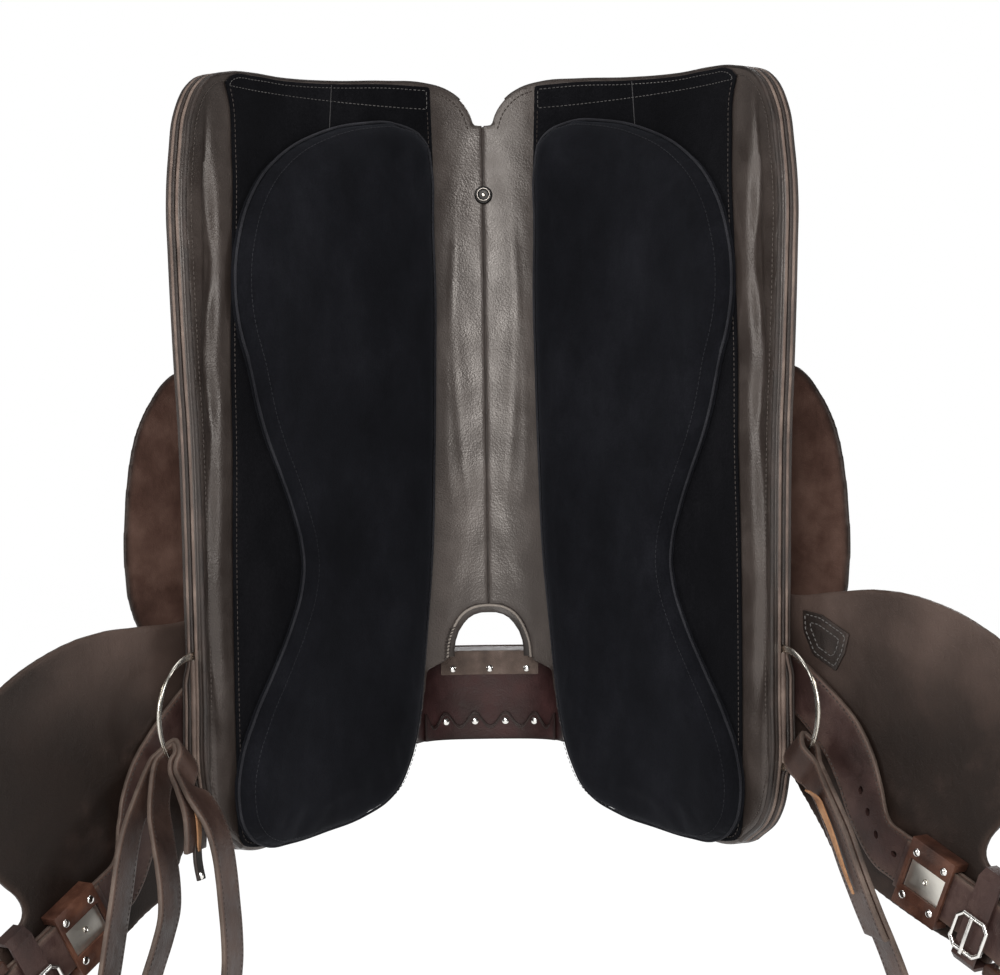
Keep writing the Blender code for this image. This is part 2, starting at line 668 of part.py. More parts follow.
def tube(name, route, radius, look, sides=2, closed=False, home=saddle):
    """A round bar along a route, as a mesh with its caps welded."""
    curve = bpy.data.curves.new(name, "CURVE")
    curve.dimensions = "3D"
    curve.bevel_depth = radius
    curve.bevel_resolution = sides
    curve.use_fill_caps = not closed
    spline = curve.splines.new("POLY")
    spline.points.add(len(route) - 1)
    spline.use_cyclic_u = closed
    for knot, spot in zip(spline.points, route):
        knot.co = (*spot, 1.0)
    holder = bpy.data.objects.new(name, curve)
    bpy.context.scene.collection.objects.link(holder)
    graph = bpy.context.evaluated_depsgraph_get()
    mesh = bpy.data.meshes.new_from_object(holder.evaluated_get(graph))
    bpy.data.objects.remove(holder, do_unlink=True)
    work = bmesh.new()
    work.from_mesh(mesh)
    bmesh.ops.remove_doubles(work, verts=work.verts, dist=WELD)
    return finish(name, work, look, home=home)


# Rear jockeys on the skirts behind the cantle
JOCKEY_THICK = 0.0045
REAR_JOCKEY_SHARES = [(0.045, 0.960), (0.075, 0.955), (0.100, 0.965), (0.250, 0.960),
                      (0.420, 0.925), (0.560, 0.860), (0.640, 0.740), (0.665, 0.560),
                      (0.660, 0.400), (0.620, 0.330), (0.555, 0.330)]


def make_rear_jockeys():
    radius = CANTLE_RADIUS + CANTLE_THICK + 3 * CANTLE_CLEAR
    inner = []
    for step in range(CANTLE_STEPS // 2):
        turn = CANTLE_TURN * (1 - 2 * step / CANTLE_STEPS)
        inner.append((radius * math.sin(turn), CANTLE_ALONG + radius * math.cos(turn)))
    outline = spread(REAR_JOCKEY_SHARES) + inner
    outline[0] = (outline[-1][0], outline[0][1])
    corners = [0] + list(range(len(REAR_JOCKEY_SHARES) - 1, len(outline)))
    right = sheet("rear_jockey_right", [(outline, corners)], SKIN_OUT + GAP,
                  SKIN_OUT + GAP + JOCKEY_THICK, SKIRT_LEATHER)
    twin(right, "rear_jockey_left", SKIRT_LEATHER)


# Seat jockeys: flaps from the ground seat that stand off over the fenders
SEAT_JOCKEY_RISE = SKIN_OUT + GAP + GROUND_THICK + GAP
JOCKEY_SLOPE_SHARES = [(0.0, 3.0), (0.06, 8.0), (0.125, 18.0), (0.25, 33.0), (0.30, 35.5),
                       (0.375, 12.0), (0.458, 20.0), (0.542, 26.0), (0.625, 30.0), (0.708, 34.0),
                       (0.792, 38.0), (0.875, 40.0), (1.5, 40.0)]
JOCKEY_LINE = Section(JOCKEY_SLOPE_SHARES, ARC_FACET, FACETS + 4)
SEAT_JOCKEY_SHARES = [
    (0.3563, -0.1667), (0.3563, 0.0900), (0.4000, 0.2364), (0.5312, 0.2485), (0.7344, 0.2485),
    (0.8375, 0.2394), (0.8875, 0.2082), (0.9166, 0.1727), (0.9531, 0.1167), (0.9781, 0.0558),
    (0.9953, -0.0233), (1.0063, -0.1176), (1.0109, -0.2121), (1.0078, -0.2830),
    (0.9969, -0.3515), (0.9625, -0.4242), (0.8906, -0.4758), (0.7500, -0.4939),
    (0.5938, -0.4909), (0.5000, -0.4606), (0.4500, -0.3788), (0.4313, -0.2273),
    (0.4281, -0.1879)]
SEAT_JOCKEY_CORNERS = (0, 2, 22)


def make_seat_jockeys():
    right = sheet("seat_jockey_right", [(spread(SEAT_JOCKEY_SHARES), SEAT_JOCKEY_CORNERS)],
                  SEAT_JOCKEY_RISE, SEAT_JOCKEY_RISE + JOCKEY_THICK, SKIRT_LEATHER, JOCKEY_LINE)
    twin(right, "seat_jockey_left", SKIRT_LEATHER)


# Fenders: flat leathers that swing on headed posts; each post stands on a webbing hanger
FENDER_SLOPE = math.radians(50.0)
FENDER_OUT = Vector((math.sin(FENDER_SLOPE), math.cos(FENDER_SLOPE), 0.0))
FENDER_ACROSS = Vector((math.cos(FENDER_SLOPE), -math.sin(FENDER_SLOPE), 0.0))
FENDER_CLEAR = 0.0085
FENDER_THICK = 0.005
FENDER_SPAN = 0.500
PIVOT_ACROSS = 0.153
PIVOT_ALONG = -0.1016
POST_RADIUS = 0.006
POST_CLEAR = 0.0006
POST_HEAD = 0.011
POST_HEAD_THICK = 0.003
HANGER_THICK = 0.003
HANGER_HALF = 0.0375
HANGER_TOP = 0.100
HANGER_DROP = 0.0064
HANGER_BEND = 0.128
HANGER_END = 0.190
FENDER_SHARES = [
    (-0.0400, -0.0328), (-0.0530, 0.0032), (-0.0380, 0.0392), (0.0000, 0.0522),
    (0.0460, 0.0372), (0.1240, -0.0048), (0.2446, -0.0378), (0.3516, -0.0368),
    (0.4442, -0.0380), (0.5374, -0.0576), (0.6350, -0.1004), (0.6800, -0.1328),
    (0.7120, -0.1868), (0.7150, -0.2668), (0.7040, -0.3368), (0.6509, -0.3997),
    (0.6218, -0.4288), (0.6153, -0.4496), (0.6313, -0.4706), (0.6736, -0.4954),
    (0.6107, -0.6137), (0.5665, -0.5924), (0.5032, -0.5667), (0.4347, -0.5337),
    (0.3769, -0.5018), (0.3257, -0.4746), (0.2780, -0.4068), (0.2180, -0.3208),
    (0.1580, -0.2268), (0.0900, -0.1368), (0.0300, -0.0728)]
FENDER_CORNERS = (19, 20)


def fender_level():
    """How far out the fender's inner face lies, just clear of the skirt."""
    spots = [Vector((*(point + SKIN_OUT * mitre), 0.0))
             for point, mitre in zip(BACK.points, BACK.mitres)]
    return max(spot.dot(FENDER_OUT) for spot in spots) + FENDER_CLEAR


FENDER_LEVEL = fender_level()


def on_fender(spot):
    """The map from the fender's own across, along and out to the saddle."""
    flat = FENDER_ACROSS * spot[0] + FENDER_OUT * (FENDER_LEVEL + spot[2])
    return flat + Vector((0.0, 0.0, spot[1]))


def from_post(shares):
    """Flat places on the fender, given as shares of its span from its post."""
    return [(PIVOT_ACROSS + FENDER_SPAN * one, PIVOT_ALONG + FENDER_SPAN * two) for one, two in shares]


def circle(radius, middle=(0.0, 0.0), points=12):
    turns = [2 * math.pi * step / points for step in range(points)]
    return [(middle[0] + radius * math.cos(turn), middle[1] + radius * math.sin(turn))
            for turn in turns]


def make_fenders():
    hole = circle(POST_RADIUS + POST_CLEAR, (PIVOT_ACROSS, PIVOT_ALONG))
    outline = from_post(FENDER_SHARES)
    work = blank([(outline, FENDER_CORNERS), (hole, "all")], 0.0, FENDER_THICK)
    shape(work, on_fender)
    twin(finish("fender_right", work, DARK_LEATHER), "fender_left", DARK_LEATHER)


def make_hangers():
    low = -GAP - HANGER_THICK
    drop = -HANGER_DROP
    side = [(HANGER_TOP, drop), (HANGER_TOP, drop - HANGER_THICK), (HANGER_BEND, low),
            (HANGER_END, low), (HANGER_END, -GAP), (HANGER_BEND, -GAP)]
    work = blank([(side, "all")], PIVOT_ALONG - HANGER_HALF, PIVOT_ALONG + HANGER_HALF, smooth=1)
    shape(work, lambda spot: on_fender((spot[0], spot[2], spot[1])))
    right = finish("hanger_right", work, DARK_LEATHER)
    head = FENDER_THICK + GAP
    profile = [(0.0, head + POST_HEAD_THICK), (POST_HEAD, head + POST_HEAD_THICK),
               (POST_HEAD, head), (POST_RADIUS, head), (POST_RADIUS, low / 2), (0.0, low / 2)]
    place = on_fender((PIVOT_ACROSS, PIVOT_ALONG, 0.0))
    post = turned("hanger_post", profile, None, seat_on(place, FENDER_OUT), home=cutters)
    cut(right, post, "UNION")
    twin(baked(right), "hanger_left", DARK_LEATHER)


# Stirrup leathers, in the strap's own frame: wide, out and down from the sleeve's middle
STRAP_TURN = math.radians(62.0)
SLEEVE_SHARES = (0.5212, -0.4902)
SLEEVE_ACROSS = PIVOT_ACROSS + SLEEVE_SHARES[0] * FENDER_SPAN
SLEEVE_ALONG = PIVOT_ALONG + SLEEVE_SHARES[1] * FENDER_SPAN
STRAP_DOWN = FENDER_ACROSS * math.sin(STRAP_TURN) - Vector((0.0, 0.0, math.cos(STRAP_TURN)))
STRAP_WIDE = FENDER_ACROSS * math.cos(STRAP_TURN) + Vector((0.0, 0.0, math.sin(STRAP_TURN)))
STRAP_HALF = 0.020
STRAP_THICK = 0.004
SLEEVE_WALL = 0.0012
SLEEVE_HALF = 0.0185
STRAP_NEAR = -2 * GAP - SLEEVE_WALL - STRAP_THICK / 2
STRAP_PITCH = 0.006
STRAP_FAR = STRAP_NEAR - STRAP_PITCH
SLEEVE_SIDE = STRAP_HALF + GAP + SLEEVE_WALL
SLEEVE_BACK = STRAP_FAR - STRAP_THICK / 2 - GAP - SLEEVE_WALL
KEEPER_THICK = 0.003
KEEPER_SIDE = 0.0285
KEEPER_HALF = 0.0225
WINDOW_SIDE = 0.012
WINDOW_HALF = 0.019
RIVET_RADIUS = 0.0026
RIVET_HEIGHT = 0.001
RIVET_SIDE = 0.0185
RIVET_ALONG = 0.0145
STRAIGHT_TOP = -0.052
FREE_END = -0.030
LOOP_START = 0.064
BOLT_DOWN = 0.086
BOLT_OUT = (STRAP_NEAR + STRAP_FAR) / 2
BOLT_RADIUS = 0.004
LOOP_RADIUS = BOLT_RADIUS + GAP + STRAP_THICK / 2
LOOP_STEPS = 9
LOOP_LEAD = math.radians(25.0)
REAR_EDGE_SHARES = [
    (0.2380, -0.1228), (0.2940, -0.1608), (0.3440, -0.2028), (0.3880, -0.2488),
    (0.4140, -0.2968), (0.4270, -0.3428)]
FRONT_EDGE_SHARES = [
    (0.1900, -0.1908), (0.2380, -0.2228), (0.2780, -0.2568), (0.3140, -0.3008),
    (0.3370, -0.3468), (0.3580, -0.4028)]


def on_strap(spot):
    """The map from the strap's own wide, out and down to the saddle."""
    place = on_fender((SLEEVE_ACROSS, SLEEVE_ALONG, spot[1]))
    return place + STRAP_WIDE * spot[0] + STRAP_DOWN * spot[2]


def ribbon(name, rails, thick, look, home=saddle):
    """A strip between two edge lines, evenly thick; each rail pair is one station."""
    middles = [(one + two) / 2 for one, two in rails]
    last = len(rails) - 1
    work = bmesh.new()
    rings = []
    for place, (one, two) in enumerate(rails):
        run = middles[min(place + 1, last)] - middles[max(place - 1, 0)]
        out = run.cross(two - one).normalized() * (thick / 2)
        rings.append([work.verts.new(spot) for spot in (one + out, two + out, two - out, one - out)])
    for one, two in zip(rings, rings[1:]):
        for corner in range(4):
            after = (corner + 1) % 4
            work.faces.new((one[corner], one[after], two[after], two[corner]))
    work.faces.new(rings[0])
    work.faces.new(list(reversed(rings[-1])))
    return finish(name, work, look, home=home)


def make_stirrup_leathers():
    rails = []
    for edges in zip(from_post(REAR_EDGE_SHARES), from_post(FRONT_EDGE_SHARES)):
        rails.append(tuple(on_fender((*edge, STRAP_NEAR)) for edge in edges))
    path = [(STRAP_NEAR, STRAIGHT_TOP), (STRAP_NEAR, LOOP_START)]
    for step in range(LOOP_STEPS + 1):
        turn = -LOOP_LEAD + (math.pi + 2 * LOOP_LEAD) * step / LOOP_STEPS
        path.append((BOLT_OUT + LOOP_RADIUS * math.cos(turn),
                     BOLT_DOWN + LOOP_RADIUS * math.sin(turn)))
    path += [(STRAP_FAR, LOOP_START), (STRAP_FAR, FREE_END)]
    rails += [(on_strap((STRAP_HALF, out, down)), on_strap((-STRAP_HALF, out, down)))
              for out, down in path]
    right = ribbon("stirrup_leather_right", rails, STRAP_THICK, RED_LEATHER)
    twin(right, "stirrup_leather_left", RED_LEATHER)


def make_sleeves():
    outer = [(SLEEVE_SIDE, -GAP), (SLEEVE_SIDE, SLEEVE_BACK), (-SLEEVE_SIDE, SLEEVE_BACK),
             (-SLEEVE_SIDE, -GAP)]
    inner = [(one - math.copysign(SLEEVE_WALL, one), two + SLEEVE_WALL * turn)
             for (one, two), turn in zip(outer, (-1, 1, 1, -1))]
    work = blank([(outer, "all"), (inner, "all")], -SLEEVE_HALF, SLEEVE_HALF, smooth=1)
    shape(work, on_strap)
    twin(finish("sleeve_right", work, STEEL), "sleeve_left", STEEL)


def make_keepers():
    face = SLEEVE_BACK - GAP
    side = SLEEVE_SIDE + GAP
    back = face - KEEPER_THICK
    outline = [(KEEPER_SIDE, -2 * GAP), (KEEPER_SIDE, back), (-KEEPER_SIDE, back),
               (-KEEPER_SIDE, -2 * GAP), (-side, -2 * GAP), (-side, face), (side, face),
               (side, -2 * GAP)]
    work = blank([(outline, "all")], -KEEPER_HALF, KEEPER_HALF, smooth=1)
    shape(work, on_strap)
    right = finish("keeper_right", work, RED_LEATHER)
    window = [(WINDOW_SIDE, face + GAP / 2), (WINDOW_SIDE, back - OVERRUN),
              (-WINDOW_SIDE, back - OVERRUN), (-WINDOW_SIDE, face + GAP / 2)]
    work = blank([(window, "all")], -WINDOW_HALF, WINDOW_HALF, smooth=1)
    shape(work, on_strap)
    cut(right, finish("keeper_window", work, None, home=cutters))
    profile = [(0.0, RIVET_HEIGHT), (RIVET_RADIUS / 2, RIVET_HEIGHT),
               (RIVET_RADIUS, -RIVET_HEIGHT), (0.0, -RIVET_HEIGHT)]
    for wide in (-1, 1):
        for down in (-1, 1):
            place = on_strap((wide * RIVET_SIDE, back, down * RIVET_ALONG))
            rivet = turned(f"keeper_rivet_{wide}_{down}", profile, None,
                           seat_on(place, -FENDER_OUT), steps=8, home=cutters)
            cut(right, rivet, "UNION")
    twin(baked(right), "keeper_left", RED_LEATHER)


# Hobble straps round fender and leather, with their buckles
HOBBLE_TOP = 0.044
HOBBLE_END = 0.066
HOBBLE_SIDE = 0.0365
HOBBLE_ROUND = 0.006
HOBBLE_THICK = 0.003
HOBBLE_NEAR = FENDER_THICK + 2 * GAP
HOBBLE_FAR = STRAP_FAR - STRAP_THICK / 2 - 2 * GAP
BUCKLE_BAR = 0.002
BUCKLE_HALF = 0.0150
BUCKLE_LONG = 0.0140
BUCKLE_WIDE = -0.012
BUCKLE_ROUND = 0.005
TONGUE_HALF = 0.0016
TONGUE_THICK = 0.0014
TONGUE_STEPS = 4
TONGUE_HOOK = math.radians(25.0)


def rounded(low, high, side, trim):
    """A box outline with its corners cut off."""
    return [(side - trim, high), (side, high - trim), (side, low + trim), (side - trim, low),
            (trim - side, low), (-side, low + trim), (-side, high - trim), (trim - side, high)]


def make_hobbles():
    outer = rounded(HOBBLE_FAR - HOBBLE_THICK, HOBBLE_NEAR + HOBBLE_THICK,
                    HOBBLE_SIDE + HOBBLE_THICK, HOBBLE_ROUND)
    inner = rounded(HOBBLE_FAR, HOBBLE_NEAR, HOBBLE_SIDE, GAP)
    work = blank([(outer, "all"), (inner, "all")], HOBBLE_TOP, HOBBLE_END, smooth=1)
    shape(work, on_strap)
    twin(finish("hobble_strap_right", work, RED_LEATHER), "hobble_strap_left", RED_LEATHER)
    out = HOBBLE_FAR - HOBBLE_THICK - GAP - BUCKLE_BAR
    middle = (HOBBLE_TOP + HOBBLE_END) / 2
    route = [on_strap((BUCKLE_WIDE + one, out, middle + two))
             for one, two in rounded(-BUCKLE_HALF, BUCKLE_HALF, BUCKLE_LONG, BUCKLE_ROUND)]
    right = tube("hobble_buckle_right", route, BUCKLE_BAR, STEEL, sides=1, closed=True)
    twin(right, "hobble_buckle_left", STEEL)
    reach = BUCKLE_BAR + GAP + TONGUE_THICK / 2
    hinge = BUCKLE_WIDE + BUCKLE_LONG
    path = []
    for step in range(TONGUE_STEPS + 1):
        turn = TONGUE_HOOK * (1 - step / TONGUE_STEPS)
        path.append((hinge + reach * math.sin(turn), out - reach * math.cos(turn)))
    path.append((BUCKLE_WIDE - BUCKLE_LONG - BUCKLE_BAR, out - reach))
    rails = [(on_strap((wide, down, middle - TONGUE_HALF)), on_strap((wide, down, middle + TONGUE_HALF)))
             for wide, down in path]
    right = ribbon("buckle_tongue_right", rails, TONGUE_THICK, STEEL)
    twin(right, "buckle_tongue_left", STEEL)


# Stirrups: leather-covered bells that hang on bolts through the leathers' loops
STIRRUP_THICK = 0.010
STIRRUP_SPAN = 0.100
BOLT_HOLE = 0.0046
BOLT_HEAD = 0.0065
BOLT_HEAD_THICK = 0.003
EAR_FACE = 0.034
STIRRUP_SHARES = [(0.290, 0.760, 0.110), (0.290, 0.860, 0.120), (0.295, 1.000, 0.130),
                  (0.360, 1.250, 0.160), (0.500, 1.520, 0.200), (0.610, 1.800, 0.240),
                  (0.655, 2.080, 0.250), (0.640, 2.260, 0.250), (0.570, 2.370, 0.250),
                  (0.450, 2.400, 0.250)]


def make_stirrups():
    half = [tuple(STIRRUP_SPAN * one for one in row) for row in STIRRUP_SHARES]
    path = half + [(-wide, down, deep) for wide, down, deep in reversed(half)]
    rails = [(on_strap((wide, BOLT_OUT - deep, down)), on_strap((wide, BOLT_OUT + deep, down)))
             for wide, down, deep in path]
    right = ribbon("stirrup_right", rails, STIRRUP_THICK, RED_LEATHER)
    bore = [(0.0, EAR_FACE + OVERRUN), (BOLT_HOLE, EAR_FACE + OVERRUN),
            (BOLT_HOLE, -EAR_FACE - OVERRUN), (0.0, -EAR_FACE - OVERRUN)]
    seat = seat_on(on_strap((0.0, BOLT_OUT, BOLT_DOWN)), STRAP_WIDE)
    cut(right, turned("bolt_bore", bore, None, seat, home=cutters))
    twin(baked(right), "stirrup_left", RED_LEATHER)
    end = EAR_FACE + GAP
    rod = [(0.0, end + BOLT_HEAD_THICK), (BOLT_HEAD, end + BOLT_HEAD_THICK), (BOLT_HEAD, end),
           (BOLT_RADIUS, end), (BOLT_RADIUS, -end), (BOLT_HEAD, -end),
           (BOLT_HEAD, -end - BOLT_HEAD_THICK), (0.0, -end - BOLT_HEAD_THICK)]
    right = turned("stirrup_bolt_right", rod, STEEL, seat)
    fixed(right)
    twin(right, "stirrup_bolt_left", STEEL)


def fixed(target):
    """Put a turned piece's sweep and its placing into its mesh."""
    baked(target)
    target.data.transform(target.matrix_world)
    target.matrix_world = Matrix.Identity(4)
    return target


# Latigo and billet, hung over the rigging rings; two-place rows lie on the ring's bar
RING_TURN = math.radians(50.0)
RING_SLOPE = math.radians(BACK_SLOPE_SHARES[-1][1])
RING_OUT = Vector((math.sin(RING_SLOPE), math.cos(RING_SLOPE), 0.0))
RING_ACROSS = Vector((math.cos(RING_SLOPE), -math.sin(RING_SLOPE), 0.0))
HANG_SPAN = 0.500
HANG_HALF = 0.020
BAR_HALF = 0.015
HANG_TURN = math.radians(75.0)
HANG_WIDE = Vector((math.cos(HANG_TURN), -math.sin(HANG_TURN), 0.0))
LATIGO_THICK = 0.004
BILLET_PITCH = 0.0048
LATIGO_SHARES = [
    (0.4600, -0.5000, -0.6060), (0.4610, -0.4980, -0.5500), (0.0240, -0.0150), (0.0000, -0.0124),
    (-0.0200, 0.0000), (0.0000, 0.0132), (0.0240, 0.0170), (0.5240, -0.4440, -0.5500),
    (0.5080, -0.4860, -0.6200), (0.5000, -0.5100, -0.7000), (0.5240, -0.5300, -0.7900),
    (0.5560, -0.5400, -0.9000), (0.5800, -0.5440, -1.0100), (0.5930, -0.5460, -1.0600),
    (0.6060, -0.5470, -1.0760), (0.6190, -0.5480, -1.0600), (0.6180, -0.5480, -1.0000),
    (0.6040, -0.5460, -0.8800), (0.5880, -0.5420, -0.7800), (0.5700, -0.5320, -0.6600),
    (0.5580, -0.5000, -0.5700), (0.0260, 0.0290), (0.0000, 0.0224), (-0.0278, 0.0000),
    (0.0000, -0.0224), (0.0260, -0.0270), (0.4580, -0.4720, -0.5240), (0.4330, -0.4860, -0.5600),
    (0.4180, -0.4860, -0.6100), (0.4100, -0.4800, -0.6900), (0.4060, -0.4780, -0.7800),
    (0.4160, -0.4820, -0.8800), (0.4280, -0.4880, -1.0000)]
BILLET_SHARES = [
    (0.0280, 0.0000), (0.5260, -0.4800, -0.5360), (0.5420, -0.5140, -0.5800),
    (0.5600, -0.5360, -0.6400), (0.5850, -0.5480, -0.7100), (0.6120, -0.5540, -0.7800),
    (0.6440, -0.5580, -0.8800), (0.6700, -0.5620, -0.9800)]
BILLET_SHORT = 5
BILLET_EYE_SHARES = [(0.0000, -0.0134), (-0.0260, 0.0000), (0.0000, 0.0134)]
LACE_HALF = 0.004
LACE_THICK = 0.0015
LACE_BAR = 0.003
LATIGO_LACE_STATIONS = range(4)
BILLET_LACE_STATIONS = range(2, 8)
BILLET_LACE_CURL_SHARES = (0.4960, -0.5000, -0.5240)


def bar_spot():
    """The middle of the ring's bar where the straps hang."""
    reach = RING_RADIUS - RING_BAR / 2
    return bend(BACK)((RING_ARC + reach * math.cos(RING_TURN),
                       RING_ALONG - reach * math.sin(RING_TURN), LINING_THICK + GAP + RING_THICK / 2))


BAR_SPOT = bar_spot()
BAR_DOWN = RING_ACROSS * math.cos(RING_TURN) - Vector((0.0, 0.0, math.sin(RING_TURN)))
BAR_WIDE = RING_ACROSS * math.sin(RING_TURN) + Vector((0.0, 0.0, math.cos(RING_TURN)))


def hung(rows):
    """Stations of a hanging strap: its middle and half its width."""
    stations = []
    for row in rows:
        if len(row) == 2:
            place = BAR_SPOT + BAR_DOWN * (HANG_SPAN * row[0]) + RING_OUT * (HANG_SPAN * row[1])
            stations.append((place, BAR_WIDE * BAR_HALF))
        else:
            stations.append((Vector(row) * HANG_SPAN, HANG_WIDE * HANG_HALF))
    return stations


def eased(stations, steps):
    """A smooth run through the stations, with steps between each two."""
    rows = np.array([[*place, *wide] for place, wide in stations])
    rows = np.vstack([2 * rows[0] - rows[1], rows, 2 * rows[-1] - rows[-2]])
    made = []
    for place in range(1, len(rows) - 2):
        one, two, three, four = rows[place - 1:place + 3]
        for step in range(steps):
            part = step / steps
            blend = (2 * two + (three - one) * part
                     + (2 * one - 5 * two + 4 * three - four) * part ** 2
                     + (3 * two - one - 3 * three + four) * part ** 3) / 2
            made.append((Vector(blend[:3]), Vector(blend[3:])))
    made.append((Vector(rows[-2][:3]), Vector(rows[-2][3:])))
    return made


def rails_of(stations):
    return [(place + wide, place - wide) for place, wide in stations]


def laid_on(run, stations, lift):
    """Places over a strap's face towards the spine, at stations of its run."""
    spots = []
    for place in stations:
        ahead = run[place + 1][0] - run[max(place - 1, 0)][0]
        out = ahead.cross(run[place][1]).normalized()
        if out.x > 0.0:
            out = -out
        spots.append(run[place][0] + out * (LATIGO_THICK / 2 + GAP + lift))
    return spots


def mirrored(target):
    """Carry a piece built on the off side over to the near side."""
    for vert in target.data.vertices:
        vert.co.x = -vert.co.x
    target.data.flip_normals()
    return target


def make_latigo():
    run = eased(hung(LATIGO_SHARES), 2)
    mirrored(ribbon("latigo", rails_of(run), LATIGO_THICK, RED_LEATHER))
    spots = laid_on(run, LATIGO_LACE_STATIONS, LACE_THICK / 2)
    rails = rails_of([(spot, HANG_WIDE * LACE_HALF) for spot in spots])
    mirrored(ribbon("latigo_lace", rails, LACE_THICK, TAN_LACE))


def make_billet():
    run = eased(hung(BILLET_SHARES), 2)
    layers = []
    for place, (spot, wide) in enumerate(run):
        ahead = run[min(place + 1, len(run) - 1)][0] - run[max(place - 1, 0)][0]
        out = ahead.cross(wide).normalized() * (BILLET_PITCH / 2)
        if out.dot(RING_OUT) < 0.0:
            out = -out
        layers.append((spot, wide, out))
    near = [(spot - out, wide) for spot, wide, out in layers[:2 * BILLET_SHORT]]
    far = [(spot + out, wide) for spot, wide, out in layers]
    eye = hung(BILLET_EYE_SHARES)
    stations = list(reversed(near)) + eye + far
    ribbon("billet", rails_of(stations), LATIGO_THICK, RED_LEATHER)
    curl = Vector(BILLET_LACE_CURL_SHARES) * HANG_SPAN
    tube("billet_lace", [curl] + laid_on(near, BILLET_LACE_STATIONS, LACE_BAR), LACE_BAR, TAN_LACE,
         sides=1)


# Moving groups: each joint has an empty on its axis, and its pieces hang under it
REST_SWING = math.radians(3.5)
JOCKEY_HINGE_ARC = SEAT_JOCKEY_SHARES[0][0] * HALF_ARC
FENDER_GROUP = ("fender", "stirrup_leather", "hobble_strap", "hobble_buckle")


def on_side(spot, side):
    return Vector((spot.x * side, spot.y, spot.z))


def rest_turn(side):
    """Each side's swing about its post at rest: the off side up a little, the near side down."""
    place = on_side(on_fender((PIVOT_ACROSS, PIVOT_ALONG, 0.0)), side)
    turn = Matrix.Rotation(-REST_SWING, 4, on_side(FENDER_OUT, side))
    return Matrix.Translation(place) @ turn @ Matrix.Translation(-place)


def joint_frame(name, place, parent=None):
    made = bpy.data.objects.new(name, None)
    saddle.objects.link(made)
    made.location = place
    if parent:
        carry(made, parent)
    return made


def carry(child, parent):
    """Hang a piece under an empty without moving it."""
    child.parent = parent
    spot = Vector((0.0, 0.0, 0.0))
    holder = parent
    while holder:
        spot += holder.matrix_parent_inverse.to_translation() + holder.location
        holder = holder.parent
    child.matrix_parent_inverse = Matrix.Translation(-spot)


def gather(side, label):
    """Put one side's moving pieces at rest and under their empties."""
    turn = rest_turn(side)
    piece = bpy.data.objects
    moved = FENDER_GROUP + ("sleeve", "keeper", "buckle_tongue", "stirrup", "stirrup_bolt")
    for name in moved:
        piece[f"{name}_{label}"].data.transform(turn)
    hinge = on_fender((HANGER_TOP, PIVOT_ALONG, -HANGER_DROP - HANGER_THICK))
    lift = joint_frame(f"fender_lift_{label}", on_side(hinge, side))
    carry(piece[f"hanger_{label}"], lift)
    post = on_fender((PIVOT_ACROSS, PIVOT_ALONG, 0.0))
    swing = joint_frame(f"fender_swing_{label}", on_side(post, side), lift)
    for name in FENDER_GROUP:
        carry(piece[f"{name}_{label}"], swing)
    slide = joint_frame(f"sleeve_slide_{label}", turn @ on_side(on_strap((0.0, 0.0, 0.0)), side), swing)
    carry(piece[f"sleeve_{label}"], slide)
    carry(piece[f"keeper_{label}"], slide)
    out = HOBBLE_FAR - HOBBLE_THICK - GAP - BUCKLE_BAR
    bar = on_strap((BUCKLE_WIDE + BUCKLE_LONG, out, (HOBBLE_TOP + HOBBLE_END) / 2))
    tongue = joint_frame(f"tongue_hinge_{label}", turn @ on_side(bar, side), swing)
    carry(piece[f"buckle_tongue_{label}"], tongue)
    bolt = on_strap((0.0, BOLT_OUT, BOLT_DOWN))
    hang = joint_frame(f"stirrup_swing_{label}", turn @ on_side(bolt, side), swing)
    carry(piece[f"stirrup_{label}"], hang)
    carry(piece[f"stirrup_bolt_{label}"], hang)
    seam = Vector((*JOCKEY_LINE.place(JOCKEY_HINGE_ARC, SEAT_JOCKEY_RISE), 0.0))
    carry(piece[f"seat_jockey_{label}"], joint_frame(f"jockey_lift_{label}", on_side(seam, side)))
    middle = bend(BACK)((HALF_ARC / 2, 0.0, 0.0))
    carry(piece[f"pad_{label}"], joint_frame(f"pad_release_{label}", on_side(middle, side)))


def gather_straps():
    piece = bpy.data.objects
    latigo = joint_frame("latigo_swing", on_side(BAR_SPOT, -1.0))
    carry(piece["latigo"], latigo)
    carry(piece["latigo_lace"], latigo)
    billet = joint_frame("billet_swing", BAR_SPOT)
    carry(piece["billet"], billet)
    carry(piece["billet_lace"], billet)


make_linings()
make_hook_panels()
make_pads()
make_skirts()
make_rigging()
make_binding()
make_snap()
make_fork()
make_gullet()
make_horn()
make_seat()
make_cantle()
make_rear_jockeys()
make_seat_jockeys()
make_fenders()
make_hangers()
make_stirrup_leathers()
make_sleeves()
make_keepers()
make_hobbles()
make_stirrups()
make_latigo()
make_billet()
gather(1.0, "right")
gather(-1.0, "left")
gather_straps()
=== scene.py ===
"""A treeless western saddle hung nose down, seen from the horse's side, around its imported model."""
import functools
import json
import math

import bpy
import numpy as np
from mathutils import Matrix, Vector


